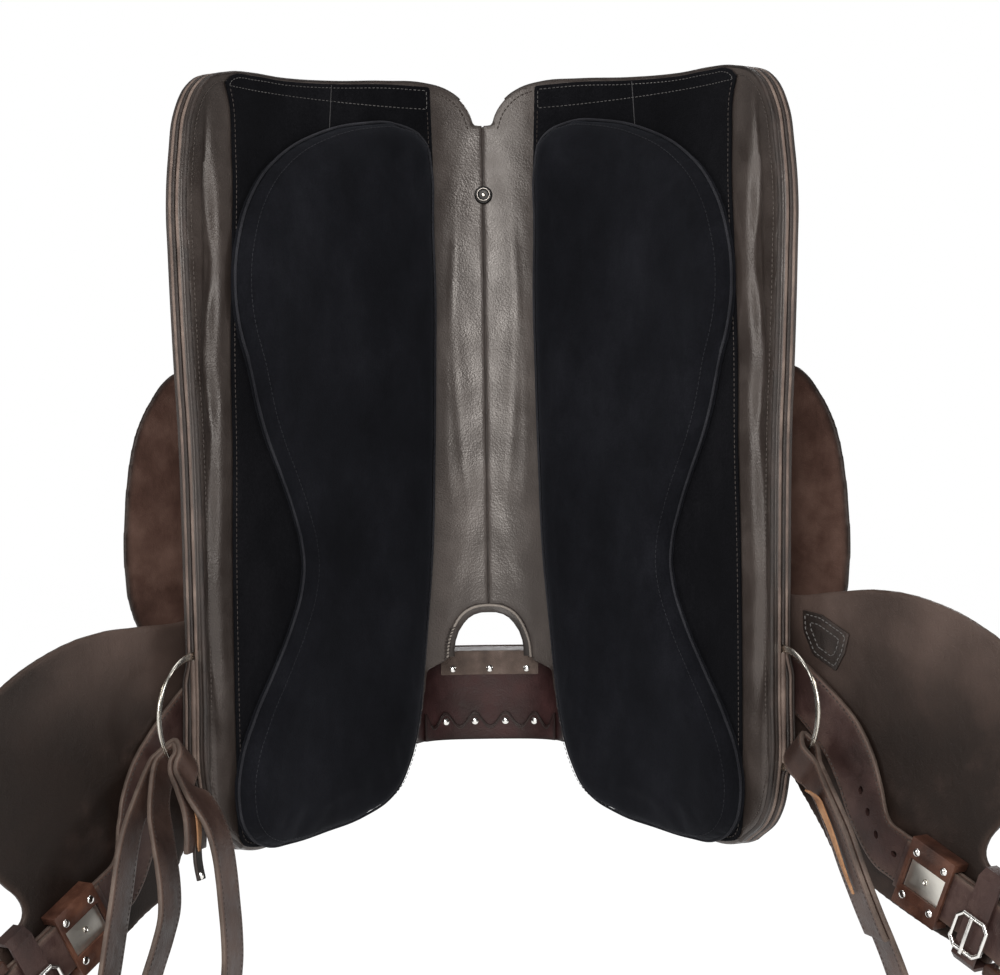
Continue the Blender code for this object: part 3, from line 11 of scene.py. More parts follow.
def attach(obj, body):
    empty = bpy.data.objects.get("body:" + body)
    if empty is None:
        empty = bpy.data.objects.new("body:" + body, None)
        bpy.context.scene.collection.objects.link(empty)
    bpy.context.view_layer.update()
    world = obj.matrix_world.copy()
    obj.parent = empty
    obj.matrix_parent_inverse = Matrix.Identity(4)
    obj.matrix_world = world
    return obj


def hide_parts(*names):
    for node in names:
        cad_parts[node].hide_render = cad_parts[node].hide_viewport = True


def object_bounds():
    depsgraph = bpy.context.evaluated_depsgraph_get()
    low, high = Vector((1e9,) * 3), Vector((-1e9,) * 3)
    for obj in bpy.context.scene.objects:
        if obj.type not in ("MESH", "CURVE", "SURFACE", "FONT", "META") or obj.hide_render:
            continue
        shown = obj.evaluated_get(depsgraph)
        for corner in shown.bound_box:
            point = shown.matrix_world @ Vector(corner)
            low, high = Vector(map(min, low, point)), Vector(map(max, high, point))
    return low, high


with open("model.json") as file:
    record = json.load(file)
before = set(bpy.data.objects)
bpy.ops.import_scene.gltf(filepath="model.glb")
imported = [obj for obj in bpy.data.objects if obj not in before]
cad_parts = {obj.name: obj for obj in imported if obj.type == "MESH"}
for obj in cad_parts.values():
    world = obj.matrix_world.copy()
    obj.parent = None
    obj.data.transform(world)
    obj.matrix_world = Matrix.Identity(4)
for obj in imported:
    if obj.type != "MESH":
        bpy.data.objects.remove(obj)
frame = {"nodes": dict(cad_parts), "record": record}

cad_low, cad_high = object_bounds()
scene = bpy.context.scene
scene.view_settings.view_transform = "Standard"

# Camera, floor and light.
# The photo looks level along +Y at the underside, turned by under a degree, on plain white.
# Large soft lamps stand in front and above; the floor lies just under the lowest piece.
PHOTO_WIDTH = 1000
PHOTO_FOCAL = 2500
SENSOR = 36.0
CAMERA_PLACE = (0.0114, -2.2, -0.0224)
CAMERA_ROLL = math.radians(0.73)
FLOOR_DROP = 0.006
FLOOR_RADIUS = 14.0
FLOOR_COLOUR = (0.90, 0.90, 0.90, 1.0)
FLOOR_WHITE = 0.9
FLOOR_GLOW = 1.09
WHITE = (1.0, 1.0, 1.0, 1.0)
LAMPS = [
    ("lamp_key", (-0.9, -2.7, 1.7), 1.6, 38.0),
    ("lamp_front", (0.0, -3.0, 0.50), 1.1, 50.0),
    ("lamp_right", (2.5, -0.9, 0.5), 1.0, 15.0),
    ("lamp_left", (-2.5, -0.9, 0.5), 1.0, 15.0),
    ("lamp_back", (0.6, 3.0, 1.4), 2.0, 44.0),
    ("lamp_top", (0.0, 0.2, 3.0), 2.4, 26.0),
]
SKY_LIGHT = 0.19
SIDES = ((1.0, "right"), (-1.0, "left"))


def rows_of(parts, *numbers, wide=2):
    """Rows of numbers, each number given as whole parts of one."""
    return [tuple(number / parts for number in numbers[place:place + wide])
            for place in range(0, len(numbers), wide)]


def added(name, data):
    """A new object of the scene that holds some data."""
    piece = bpy.data.objects.new(name, data)
    scene.collection.objects.link(piece)
    return piece


def only(piece=None):
    """Leave one piece selected and active, or none selected."""
    bpy.ops.object.select_all(action="DESELECT")
    if piece:
        piece.select_set(True)
        bpy.context.view_layer.objects.active = piece


def wire(tree, inputs, sources):
    for key, source in sources.items():
        tree.links.new(source, inputs[key])


def node(tree, kind, values={}, sources={}, **settings):
    """A shader node with its settings, its constant inputs and its linked inputs."""
    made = tree.nodes.new("ShaderNode" + kind)
    for key, value in settings.items():
        setattr(made, key, value)
    for key, value in values.items():
        made.inputs[key].default_value = value
    wire(tree, made.inputs, sources)
    return made


view = bpy.data.cameras.new("camera")
view.sensor_width = SENSOR
view.lens = SENSOR * PHOTO_FOCAL / PHOTO_WIDTH
camera = added("camera", view)
camera.location = CAMERA_PLACE
camera.rotation_euler = (math.pi / 2, CAMERA_ROLL, 0.0)
scene.camera = camera

for name, place, size, power in LAMPS:
    lamp = bpy.data.lights.new(name, "AREA")
    lamp.shape = "DISK"
    lamp.size = size
    lamp.energy = power
    holder = added(name, lamp)
    holder.location = place
    holder.rotation_euler = (-Vector(place)).to_track_quat("-Z", "Y").to_euler()


def whitened(tree, lit, output, share):
    """Camera and mirror rays see mostly plain white, and all other rays the lit shader."""
    path = node(tree, "LightPath").outputs
    either = node(tree, "Math", {}, {0: path["Is Camera Ray"], 1: path["Is Glossy Ray"]},
                  operation="MAXIMUM")
    part = node(tree, "Math", {1: share}, {0: either.outputs[0]}, operation="MULTIPLY")
    glow = node(tree, "Emission", {"Color": WHITE, "Strength": FLOOR_GLOW})
    mix = node(tree, "MixShader", {}, {"Fac": part.outputs[0], 1: lit, 2: glow.outputs[0]})
    tree.links.new(mix.outputs[0], output)


world = bpy.data.worlds.new("studio")
scene.world = world
world.use_nodes = True
studio = world.node_tree
sky = studio.nodes["Background"].inputs
sky["Color"].default_value = WHITE
seen = node(studio, "Math", {1: 1.0 - SKY_LIGHT, 2: SKY_LIGHT},
            {0: node(studio, "LightPath").outputs["Is Camera Ray"]}, operation="MULTIPLY_ADD")
wire(studio, sky, {"Strength": seen.outputs[0]})

only()
bpy.ops.mesh.primitive_circle_add(vertices=96, radius=FLOOR_RADIUS, fill_type="NGON",
                                  location=(0.0, 0.0, cad_low.z - FLOOR_DROP))
floor = bpy.context.object
floor.name = "floor"
paint = bpy.data.materials.new("floor")
paint.use_nodes = True
coat = paint.node_tree.nodes["Principled BSDF"]
coat.inputs["Base Color"].default_value = FLOOR_COLOUR
coat.inputs["Roughness"].default_value = 0.9
whitened(paint.node_tree, coat.outputs[0],
         paint.node_tree.nodes["Material Output"].inputs["Surface"], FLOOR_WHITE)
floor.data.materials.append(paint)


# Lining: two halves of soft glossy leather over felt, joined in a seam on the spine.
# Each is cut flat and bent over the back; the face creases and the edges are stitched.
# What is cut flat has arc over the back, along towards the cantle, and rise off the horse.
HALF_LENGTH = 0.330
HALF_ARC = 0.320
ROCKER = 0.016
GAP = 0.0003
LINING_THICK = 0.011
FINE = 0.001
BACK_SLOPE_SHARES = rows_of(1000, 0, 3000, 60, 8000, 125, 18000, 250, 33000, 440, 41000, 660, 50000, 810,
    60000, 1500, 60000)
LINING_SHARES = rows_of(10000, 10, 9040, 250, 9040, 300, 9250, 480, 9580, 900, 9950, 1600, 10150, 2810,
    10130, 4460, 9980, 6250, 9870, 7500, 9860, 8440, 9760, 9370, 9450, 10000, 8640, 10230, 7580, 10340,
    6270, 10280, 5150, 10050, 2120, 9920, 730, 9780, -3180, 9740, -5760, 9690, -7880, 9270, -8940, 8560,
    -9450, 8020, -9700, 6720, -9640, 5310, -9300, 3750, -8790, 2660, -8120, 2070, -7430, 1900, -6610, 1730,
    -5520, 1165, -5270, 1120, -4700, 870, -4150, 500, -3870, 10, -3810)
LINING_CORNERS = (0, 1, 28, 30, 31, 35)
HOMES = {node: body for body, nodes in frame["record"]["behaviour"]["bodies"].items()
         for node in nodes}


def fold(slope_shares):
    """A smooth cross-section over the back: arc, x, y and slope from the spine outwards."""
    table = np.array(slope_shares)
    arcs = np.arange(0.0, table[-1, 0] * HALF_ARC, FINE)
    slopes = np.radians(np.interp(arcs / HALF_ARC, table[:, 0], table[:, 1]))
    middles = (slopes[1:] + slopes[:-1]) / 2
    x = np.concatenate([[0.0], np.cumsum(np.cos(middles))]) * FINE
    y = -np.concatenate([[0.0], np.cumsum(np.sin(middles))]) * FINE
    return arcs, x, y, slopes


BACK = fold(BACK_SLOPE_SHARES)


def bent(spots, line=BACK):
    """Carry flat places, rows of arc, along and rise, to the saddle."""
    spots = np.asarray(spots, float)
    arc = np.abs(spots[:, 0])
    x, y, slope = (np.interp(arc, line[0], column) for column in line[1:])
    side = np.where(spots[:, 0] < 0.0, -1.0, 1.0)
    lift = ROCKER * (spots[:, 1] / HALF_LENGTH) ** 2
    return np.stack([side * (x + spots[:, 2] * np.sin(slope)),
                     y + spots[:, 2] * np.cos(slope) + lift, spots[:, 1]], axis=1)


def spread(shares, across=HALF_ARC, along=HALF_LENGTH):
    return [(across * one, along * two) for one, two in shares]


def pattern(name, loops, low, high, round_edge=0.0, fine=8):
    """A cut pattern as a filled curve with thickness; each loop is points and sharp corners."""
    curve = bpy.data.curves.new(name, "CURVE")
    curve.dimensions = "2D"
    curve.fill_mode = "BOTH" if high > low else "NONE"
    curve.resolution_u = fine
    curve.extrude = (high - low) / 2 - round_edge
    curve.bevel_depth = round_edge
    curve.bevel_resolution = 2
    curve.offset = -round_edge
    for points, corners in loops:
        spline = curve.splines.new("BEZIER")
        spline.bezier_points.add(len(points) - 1)
        spline.use_cyclic_u = True
        for place, (knot, point) in enumerate(zip(spline.bezier_points, points)):
            knot.co = (point[0], point[1], 0.0)
            kind = "VECTOR" if corners == "all" or place in corners else "AUTO"
            knot.handle_left_type = knot.handle_right_type = kind
    piece = added(name, curve)
    only(piece)
    bpy.ops.object.convert(target="MESH")
    piece.data.transform(Matrix.Translation((0.0, 0.0, (high + low) / 2)))
    return piece


def apply_all(piece):
    only(piece)
    for step in list(piece.modifiers):
        bpy.ops.object.modifier_apply(modifier=step.name)
    return piece


def slab(name, loops, low, high, cell, puff=1.0, wear=5):
    """A cut pattern remeshed in small cells, with its edges worn round; puff helps thin ones."""
    piece = pattern(name, loops, low * puff, high * puff)
    piece.data.remesh_voxel_size = cell
    bpy.ops.object.voxel_remesh()
    if wear:
        step = piece.modifiers.new("wear", "SMOOTH")
        step.factor = 0.5
        step.iterations = wear
        apply_all(piece)
    if puff != 1.0:
        piece.data.transform(Matrix.Diagonal((1.0, 1.0, 1.0 / puff, 1.0)))
    return piece


def spots_of(piece):
    spots = np.empty(len(piece.data.vertices) * 3, np.float32)
    piece.data.vertices.foreach_get("co", spots)
    return spots.reshape(-1, 3).astype(float)


def put(piece, spots):
    piece.data.vertices.foreach_set("co", np.asarray(spots, np.float32).ravel())
    piece.data.update()
    return piece


def mirror_of(piece, name):
    """The near side's copy of an off side piece."""
    copy = added(name, piece.data.copy())
    copy.data.transform(Matrix.Diagonal((-1.0, 1.0, 1.0, 1.0)))
    copy.data.flip_normals()
    return copy


def outward(piece):
    """Turn a closed piece's faces outwards where its placing turned them in."""
    mesh = piece.data
    mesh.calc_loop_triangles()
    corners = np.empty(len(mesh.loop_triangles) * 3, np.int32)
    mesh.loop_triangles.foreach_get("vertices", corners)
    spots = spots_of(piece)
    one, two, three = (spots[corners[place::3]] for place in range(3))
    if np.sum(one * np.cross(two, three)) < 0.0:
        mesh.flip_normals()
    return piece


def dress(piece, paint, *nodes, body=None, angle=45.0, keep=False):
    """Give a finished piece its material, its shading, its body and the nodes it stands for."""
    outward(piece)
    if not keep:
        piece.data.materials.clear()
        piece.data.materials.append(paint)
    only(piece)
    bpy.ops.object.shade_smooth_by_angle(angle=math.radians(angle))
    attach(piece, body or HOMES[nodes[0]])
    if nodes:
        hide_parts(*nodes)
    return piece


def paired(piece, label, paint, angle=45.0):
    """Dress an off side piece and its near side copy for a pair of nodes."""
    near = mirror_of(piece, piece.name.replace("right", "left"))
    dress(piece, paint, f"{label}_right", angle=angle)
    return piece, dress(near, paint, f"{label}_left", angle=angle)


def painted(name):
    """A new material, its node tree, its shader's inputs and the piece's own places."""
    paint = bpy.data.materials.new(name)
    paint.use_nodes = True
    tree = paint.node_tree
    return paint, tree, tree.nodes["Principled BSDF"].inputs, node(tree, "TexCoord").outputs["Object"]


def noise(tree, place, scale, detail=4.0, rough=0.55, stretch=(1.0, 1.0, 1.0)):
    """A noise over the piece's own places, in cells per metre, stretched along an axis."""
    mapping = node(tree, "Mapping", {"Scale": stretch}, {"Vector": place})
    return node(tree, "TexNoise", {"Scale": scale, "Detail": detail, "Roughness": rough},
                {"Vector": mapping.outputs[0]}).outputs["Fac"]


def ramp(tree, value, stops):
    made = node(tree, "ValToRGB", {}, {"Fac": value})
    marks = made.color_ramp.elements
    while len(marks) < len(stops):
        marks.new(0.5)
    for mark, (place, colour) in zip(marks, stops):
        mark.position = place
        mark.color = (*colour, 1.0)
    return made.outputs["Color"]


def bump(tree, height, strength, distance, under=None):
    made = node(tree, "Bump", {"Strength": strength, "Distance": distance}, {"Height": height})
    if under:
        wire(tree, made.inputs, {"Normal": under})
    return made.outputs["Normal"]


def spread_value(tree, value, low, high):
    return node(tree, "MapRange", {"From Min": 0.3, "From Max": 0.7, "To Min": low, "To Max": high},
                {"Value": value}).outputs["Result"]


def mixed(tree, share, colour, other):
    """A colour that turns into another one as the share nears one."""
    return node(tree, "Mix", {"B": (*other, 1.0)}, {"Factor": share, "A": colour},
                data_type="RGBA").outputs["Result"]


WARM_GLOSS = (1.0, 0.93, 0.87, 1.0)


def leather(name, deep, plain, worn, rough, pores=900.0, grain=0.25, creases=0.3,
            stretch=(1.0, 1.0, 1.0), patch=7.0, edge=None, gloss=0.5):
    """Grained leather: blotchy dye, pores, long creases and a gloss that wears unevenly.

    An edge colour shows where the piece's own rim attribute nears one."""
    paint, tree, shader, place = painted(name)
    colour = ramp(tree, noise(tree, place, patch, 7.0, 0.62), [(0.30, deep), (0.50, plain), (0.72, worn)])
    if edge:
        rim = node(tree, "Attribute", attribute_name="rim")
        colour = mixed(tree, rim.outputs["Fac"], colour, edge)
    shader["Specular IOR Level"].default_value = gloss
    shader["Specular Tint"].default_value = WARM_GLOSS
    shine = noise(tree, place, patch * 4, 5.0, 0.6)
    cells = node(tree, "TexVoronoi", {"Scale": pores}, {"Vector": place})
    under = bump(tree, cells.outputs["Distance"], grain, 0.0004)
    folds = noise(tree, place, 120.0, 6.0, 0.6, stretch)
    wire(tree, shader, {"Base Color": colour, "Normal": bump(tree, folds, creases, 0.0012, under),
                        "Roughness": spread_value(tree, shine, rough - 0.08, rough + 0.10)})
    return paint


def traced(points, corners, step):
    """The outline of a pattern as evenly spaced flat places, in order."""
    guide = pattern("guide", [(points, corners)], 0.0, 0.0, fine=6)
    line = spots_of(guide)[:, :2]
    bpy.data.objects.remove(guide, do_unlink=True)
    return evenly(np.vstack([line, line[:1]]), step)


def evenly(line, step):
    runs = np.linalg.norm(np.diff(line, axis=0), axis=1)
    reach = np.concatenate([[0.0], np.cumsum(runs)])
    stops = np.linspace(0.0, reach[-1], max(2, int(reach[-1] / step)) + 1)
    return np.stack([np.interp(stops, reach, column) for column in line.T], axis=1)


def inset(line, depth):
    """A closed flat outline moved inwards, without the loops at its tight corners."""
    ahead = np.roll(line[:-1], -1, axis=0) - np.roll(line[:-1], 1, axis=0)
    ahead /= np.linalg.norm(ahead, axis=1)[:, None]
    area = np.sum(line[:-1, 0] * np.roll(line[:-1, 1], -1) - np.roll(line[:-1, 0], -1) * line[:-1, 1])
    turn = 1.0 if area > 0.0 else -1.0
    moved = line[:-1] + np.stack([-ahead[:, 1], ahead[:, 0]], axis=1) * depth * turn
    far = np.array([np.min(np.linalg.norm(line - spot, axis=1)) for spot in moved])
    return moved[far > 0.94 * abs(depth)]


STITCH_RINGS = ((-1.0, 0.45, -0.6), (-0.6, 1.0, 0.4), (0.6, 1.0, 0.4), (1.0, 0.45, -0.6))


def settled(piece, merged=0.0):
    """Turn a piece's faces outwards, with points closer than asked merged."""
    only(piece)
    bpy.ops.object.mode_set(mode="EDIT")
    bpy.ops.mesh.select_all(action="SELECT")
    if merged:
        bpy.ops.mesh.remove_doubles(threshold=merged)
    bpy.ops.mesh.normals_make_consistent(inside=False)
    bpy.ops.object.mode_set(mode="OBJECT")
    return piece


def stitches(name, line, place, rise, paint, body, pitch=0.0042, length=0.0030, girth=0.00045,
             gap=0.02):
    """A row of thread stitches along a flat line, carried to the piece by its own bend."""
    spots = evenly(np.asarray(line, float), pitch)
    rows = []
    faces = []
    for one, two in zip(spots[:-1], spots[1:]):
        run = two - one
        if np.linalg.norm(run) > gap or np.linalg.norm(run) < pitch / 3:
            continue
        run *= length / np.linalg.norm(run) / 2
        middle = (one + two) / 2
        side = np.array([-run[1], run[0]]) / np.linalg.norm(run) * girth
        base = len(rows)
        up = girth if rise > 0.0 else -girth
        for along, size, high in STITCH_RINGS:
            centre = middle + run * along
            for wide, tall in ((1.0, 0.0), (0.0, 1.0), (-1.0, 0.0), (0.0, -1.0)):
                spot = centre + side * wide * size
                rows.append((*spot, rise + up * (high + tall * size)))
        for ring in range(3):
            for corner in range(4):
                after = (corner + 1) % 4
                first = base + 4 * ring
                faces.append((first + corner, first + after, first + 4 + after, first + 4 + corner))
        faces.append((base + 3, base + 2, base + 1, base))
        faces.append((base + 12, base + 13, base + 14, base + 15))
    mesh = bpy.data.meshes.new(name)
    mesh.from_pydata([tuple(row) for row in place(np.array(rows))], [], faces)
    return dress(settled(added(name, mesh)), paint, body=body)


def bead(name, spots, radius, paint, body, closed=False, sides=3):
    """A round welt or piping along places on the saddle."""
    curve = bpy.data.curves.new(name, "CURVE")
    curve.dimensions = "3D"
    curve.bevel_depth = radius
    curve.bevel_resolution = sides
    curve.use_fill_caps = not closed
    spline = curve.splines.new("POLY")
    spline.points.add(len(spots) - 1)
    spline.use_cyclic_u = closed
    for knot, spot in zip(spline.points, spots):
        knot.co = (*spot, 1.0)
    piece = added(name, curve)
    only(piece)
    bpy.ops.object.convert(target="MESH")
    return dress(settled(piece, 0.00001), paint, body=body)


def level(line, rise):
    return np.column_stack([line, np.full(len(line), rise)])


LINING_LEATHER = leather("lining_leather", (0.018, 0.0128, 0.0108), (0.031, 0.0232, 0.0198),
                         (0.056, 0.043, 0.037), 0.36, pores=620.0, grain=0.30, creases=0.22,
                         stretch=(0.6, 0.6, 1.0), patch=9.0, gloss=0.72)
DARK_THREAD = leather("dark_thread", (0.020, 0.014, 0.012), (0.035, 0.026, 0.022),
                      (0.060, 0.048, 0.040), 0.6, pores=2400.0, grain=0.4)
CREASE_DEPTH = 0.0007
DENT_DEPTH = 0.0052
DENTS = ((0.205, 0.040, 0.06), (0.118, 0.034, -0.08), (0.055, 0.028, 0.10), (-0.030, 0.060, -0.03),
         (-0.150, 0.050, 0.05))
GROOVE_ARC = 0.3035
GROOVE_DEPTH = 0.0018
SIDE_OPEN_ARC = 0.272
SPINE_OPEN_ARC = 0.047


def creased(piece):
    """Sink the lining's open face in folds: fine ones on the spine, long dents at the sides."""
    spots = spots_of(piece)
    front = spots[:, 2] < LINING_THICK / 3
    arc, along = np.abs(spots[:, 0]), spots[:, 1]
    spine = np.clip((SPINE_OPEN_ARC - arc) / 0.01, 0.0, 1.0)
    side = np.clip((arc - SIDE_OPEN_ARC) / 0.012, 0.0, 1.0)
    side *= np.clip((0.325 - arc) / 0.012, 0.0, 1.0)
    ripple = np.sin(along * 71.0 + 2.3 * np.sin(arc * 83.0 + along * 19.0))
    ripple = 0.6 * ripple * np.sin(arc * 150.0 - along * 33.0 + 1.3)
    ripple += 0.4 * np.sin(along * 143.0 + arc * 60.0)
    fine = CREASE_DEPTH * (0.5 + 0.5 * ripple)
    pleat = np.exp(-((arc - 0.021 - 0.008 * np.sin(along * 11.0)) / 0.0022) ** 2)
    pleat += 0.7 * np.exp(-((arc - 0.029 - 0.006 * np.sin(along * 14.0 + 1.0)) / 0.0018) ** 2)
    pleat *= np.clip((0.235 - along) / 0.05, 0.0, 1.0) * np.clip((along + 0.05) / 0.05, 0.0, 1.0)
    dents = 0.0
    for centre, reach, tilt in DENTS:
        shift = (arc - 0.298 - tilt * (along - centre)) / 0.0065
        dents = dents + np.exp(-shift ** 2 - ((along - centre) / reach) ** 2)
    sunk = spine * (0.8 * fine + 0.6 * CREASE_DEPTH * pleat)
    sunk += side * (0.4 * fine + DENT_DEPTH * np.minimum(dents, 1.0))
    wander = GROOVE_ARC + 0.0016 * np.sin(along * 17.0)
    groove = np.exp(-((arc - wander) / 0.0024) ** 2) * np.clip((0.30 - np.abs(along)) / 0.04, 0.0, 1.0)
    spots[:, 2] += np.where(front, sunk + GROOVE_DEPTH * groove, 0.0)
    return put(piece, spots)


lining = slab("lining_right_leather", [(spread(LINING_SHARES), LINING_CORNERS)], 0.0,
              LINING_THICK, 0.0026)
creased(lining)
put(lining, bent(spots_of(lining)))
paired(lining, "lining", LINING_LEATHER)
lining_line = traced(spread(LINING_SHARES), LINING_CORNERS, 0.002)
row = inset(lining_line, 0.0065)
row = row[(row[:, 0] > 0.010) & ((row[:, 1] > -0.11) | (row[:, 0] > 0.20))]
for side, label in SIDES:
    stitches(f"lining_stitches_{label}", row * (side, 1.0), bent, -0.0002, DARK_THREAD, "saddle")


# Hook-and-loop panels: black looped pile, sewn down beside the spine and short of the edges.
# Each is a thin slab under the pads, with a joining seam near its rear end.
HOOK_THICK = 0.002
HOOK_SHARES = rows_of(1000, 150, 1005, 281, 1004, 446, 990, 625, 979, 750, 978, 840, 969, 872, 946, 852,
    894, 844, 788, 840, 697, 846, 515, 853, 273, 850, 30, 856, -242, 856, -591, 855, -794, 856, -894, 838,
    -946, 790, -962, 672, -956, 531, -922, 375, -871, 275, -809, 220, -743, 202, -661, 185, -550, 160, -300,
    145, 0, 140, 400, 143, 800)
HOOK_CORNERS = (0, 6, 23, 25)
FLECK = 0.5
JOIN_SHARES = rows_of(1000, 468, 985, 475, 880, 480, 760)


def fabric(name, deep, plain, fibre, rough, sheen, tint, cells=1500.0, height=0.5):
    """Napped cloth or suede: brushed blotches, a fibre bump and a soft sheen."""
    paint, tree, shader, place = painted(name)
    shader["Roughness"].default_value = rough
    shader["Sheen Weight"].default_value = sheen
    shader["Sheen Roughness"].default_value = 0.5
    shader["Sheen Tint"].default_value = (*tint, 1.0)
    shader["Specular IOR Level"].default_value = 0.08
    brushed = noise(tree, place, 14.0, 8.0, 0.68, (1.0, 1.0, 0.6))
    speck = node(tree, "Math", {1: FLECK}, {0: noise(tree, place, cells / 3, 2.0, 0.8), 2: brushed},
                 operation="MULTIPLY_ADD")
    stops = (0.32 + FLECK / 2, 0.52 + FLECK / 2, 0.75 + FLECK / 2)
    under = bump(tree, noise(tree, place, cells, 3.0, 0.7), height, 0.0006)
    tufts = noise(tree, place, cells / 5, 3.0, 0.7)
    wire(tree, shader, {"Base Color": ramp(tree, speck.outputs[0], list(zip(stops, (deep, plain, fibre)))),
                        "Normal": bump(tree, tufts, height * 0.5, 0.0010, under)})
    return paint


PILE = fabric("black_pile", (0.0016, 0.0016, 0.0021), (0.0030, 0.0030, 0.0038),
              (0.0068, 0.0067, 0.0080), 0.97, 0.10, (0.10, 0.10, 0.12), cells=1300.0, height=0.9)
hook = slab("hook_panel_right_pile", [(spread(HOOK_SHARES), HOOK_CORNERS)], -GAP - HOOK_THICK, -GAP,
            0.003, puff=5.0, wear=3)
put(hook, bent(spots_of(hook)))
paired(hook, "hook_panel", PILE)
hook_line = traced(spread(HOOK_SHARES), HOOK_CORNERS, 0.002)
hook_row = inset(hook_line, 0.0035)
HOOK_REAR_ROW = 0.31
PALE_THREAD = leather("pale_thread", (0.050, 0.047, 0.045), (0.090, 0.086, 0.082),
                      (0.160, 0.150, 0.142), 0.6, pores=2400.0, grain=0.4)
PIPING_GREY = leather("join_thread", (0.012, 0.012, 0.013), (0.024, 0.024, 0.026),
                      (0.050, 0.050, 0.054), 0.7, pores=2400.0, grain=0.4)
rear_end = hook_row[:, 1] > HOOK_REAR_ROW
for side, label in SIDES:
    stitches(f"hook_panel_stitches_{label}", hook_row[~rear_end] * (side, 1.0), bent,
             -HOOK_THICK - GAP, DARK_THREAD, "saddle", girth=0.0003)
    stitches(f"hook_panel_rear_stitches_{label}", hook_row[rear_end] * (side, 1.0), bent,
             -HOOK_THICK - GAP, PALE_THREAD, "saddle", girth=0.0003)
    join = evenly(np.array(spread(JOIN_SHARES)) * (side, 1.0), 0.002)
    bead(f"hook_panel_join_{label}", bent(level(join, -HOOK_THICK - GAP)), 0.0004, PIPING_GREY, "saddle")


# Pads: black suede over foam, held on the pile panels, with piping round the outer side.
# The foam is cut to the outline, crowned in from its edge, and filled with pressure.
PAD_THICK = 0.025
PAD_EDGE = 0.006
PAD_ROLL = 0.020
PAD_CELL = 0.004
PAD_SHARES = rows_of(1000, 156, 794, 178, 858, 266, 895, 369, 891, 537, 848, 681, 773, 791, 667, 844, 561,
    862, 445, 844, 339, 798, 239, 756, 121, 719, 45, 672, -36, 631, -121, 598, -224, 600, -303, 641, -409,
    716, -527, 800, -636, 862, -742, 875, -848, 844, -918, 766, -961, 666, -964, 537, -948, 394, -918, 300,
    -870, 250, -794, 219, -697, 200, -570, 184, -424, 166, -242, 156, 0, 150, 242, 147, 455, 152, 618)
PAD_BACK = -GAP - HOOK_THICK - GAP
SUEDE = fabric("black_suede", (0.0026, 0.0027, 0.0036), (0.0048, 0.0050, 0.0066),
               (0.0098, 0.0101, 0.0128), 0.92, 0.12, (0.18, 0.19, 0.23), cells=2600.0, height=0.35)


def edge_distance(spots, line):
    """How far each flat place lies in from an outline."""
    far = np.full(len(spots), np.inf)
    for one in line:
        far = np.minimum(far, (spots[:, 0] - one[0]) ** 2 + (spots[:, 1] - one[1]) ** 2)
    return np.sqrt(far)


def filled(piece, pressure, most, held):
    """Swell a closed soft form with cloth under pressure; held places stay, others move a little."""
    start = spots_of(piece)
    group = piece.vertex_groups.new(name="held")
    group.add([int(place) for place in np.flatnonzero(held)], 1.0, "REPLACE")
    step = piece.modifiers.new("fill", "CLOTH")
    step.settings.use_pressure = True
    step.settings.uniform_pressure_force = pressure
    step.settings.effector_weights.gravity = 0.0
    step.settings.vertex_group_mass = "held"
    step.settings.quality = 4
    for moment in range(1, 21):
        scene.frame_set(moment)
    graph = bpy.context.evaluated_depsgraph_get()
    swollen = np.array([vert.co for vert in piece.evaluated_get(graph).data.vertices])
    piece.modifiers.clear()
    piece.vertex_groups.clear()
    scene.frame_set(1)
    move = swollen - start
    reach = np.linalg.norm(move, axis=1)[:, None]
    move *= np.minimum(1.0, most / np.maximum(reach, 1e-9))
    return put(piece, start + move)


def subdivided(piece, levels=1):
    step = piece.modifiers.new("finer", "SUBSURF")
    step.levels = step.render_levels = levels
    return apply_all(piece)


pad = slab("pad_right_suede", [(spread(PAD_SHARES), ())], PAD_BACK - PAD_THICK, PAD_BACK, PAD_CELL,
           wear=4)
pad_line = traced(spread(PAD_SHARES), (), 0.002)
spots = spots_of(pad)
inward = np.minimum(edge_distance(spots[:, :2], pad_line) / PAD_ROLL, 1.0)
crown = PAD_EDGE + (PAD_THICK - 0.002 - PAD_EDGE) * np.sqrt(1.0 - (1.0 - inward) ** 2)
spots[:, 2] = PAD_BACK + (spots[:, 2] - PAD_BACK) / PAD_THICK * crown
put(pad, spots)
filled(pad, 4.0, 0.0025, spots[:, 2] > PAD_BACK - 0.002)
subdivided(pad)
put(pad, bent(spots_of(pad)))
for piece in paired(pad, "pad", SUEDE, angle=80.0):
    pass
PIPING = fabric("grey_piping", (0.008, 0.008, 0.010), (0.018, 0.018, 0.021), (0.040, 0.040, 0.045),
                0.85, 0.2, (0.3, 0.3, 0.32), cells=3000.0, height=0.3)
PIPING_RISE = PAD_BACK - PAD_EDGE + 0.0005
STITCH_INSET = 0.0055
pad_row = inset(pad_line, STITCH_INSET)
stitch_share = STITCH_INSET / PAD_ROLL
stitch_rise = PAD_BACK - PAD_EDGE - (PAD_THICK - 0.002 - PAD_EDGE) * math.sqrt(1 - (1 - stitch_share) ** 2)
for side, label in SIDES:
    ring = level(pad_line[:-1] * (side, 1.0), PIPING_RISE)
    bead(f"pad_piping_{label}", bent(ring), 0.0011, PIPING, f"pad_{label}", closed=True)
    stitches(f"pad_stitches_{label}", pad_row * (side, 1.0), bent, stitch_rise, PIPING,
             f"pad_{label}", girth=0.00035)


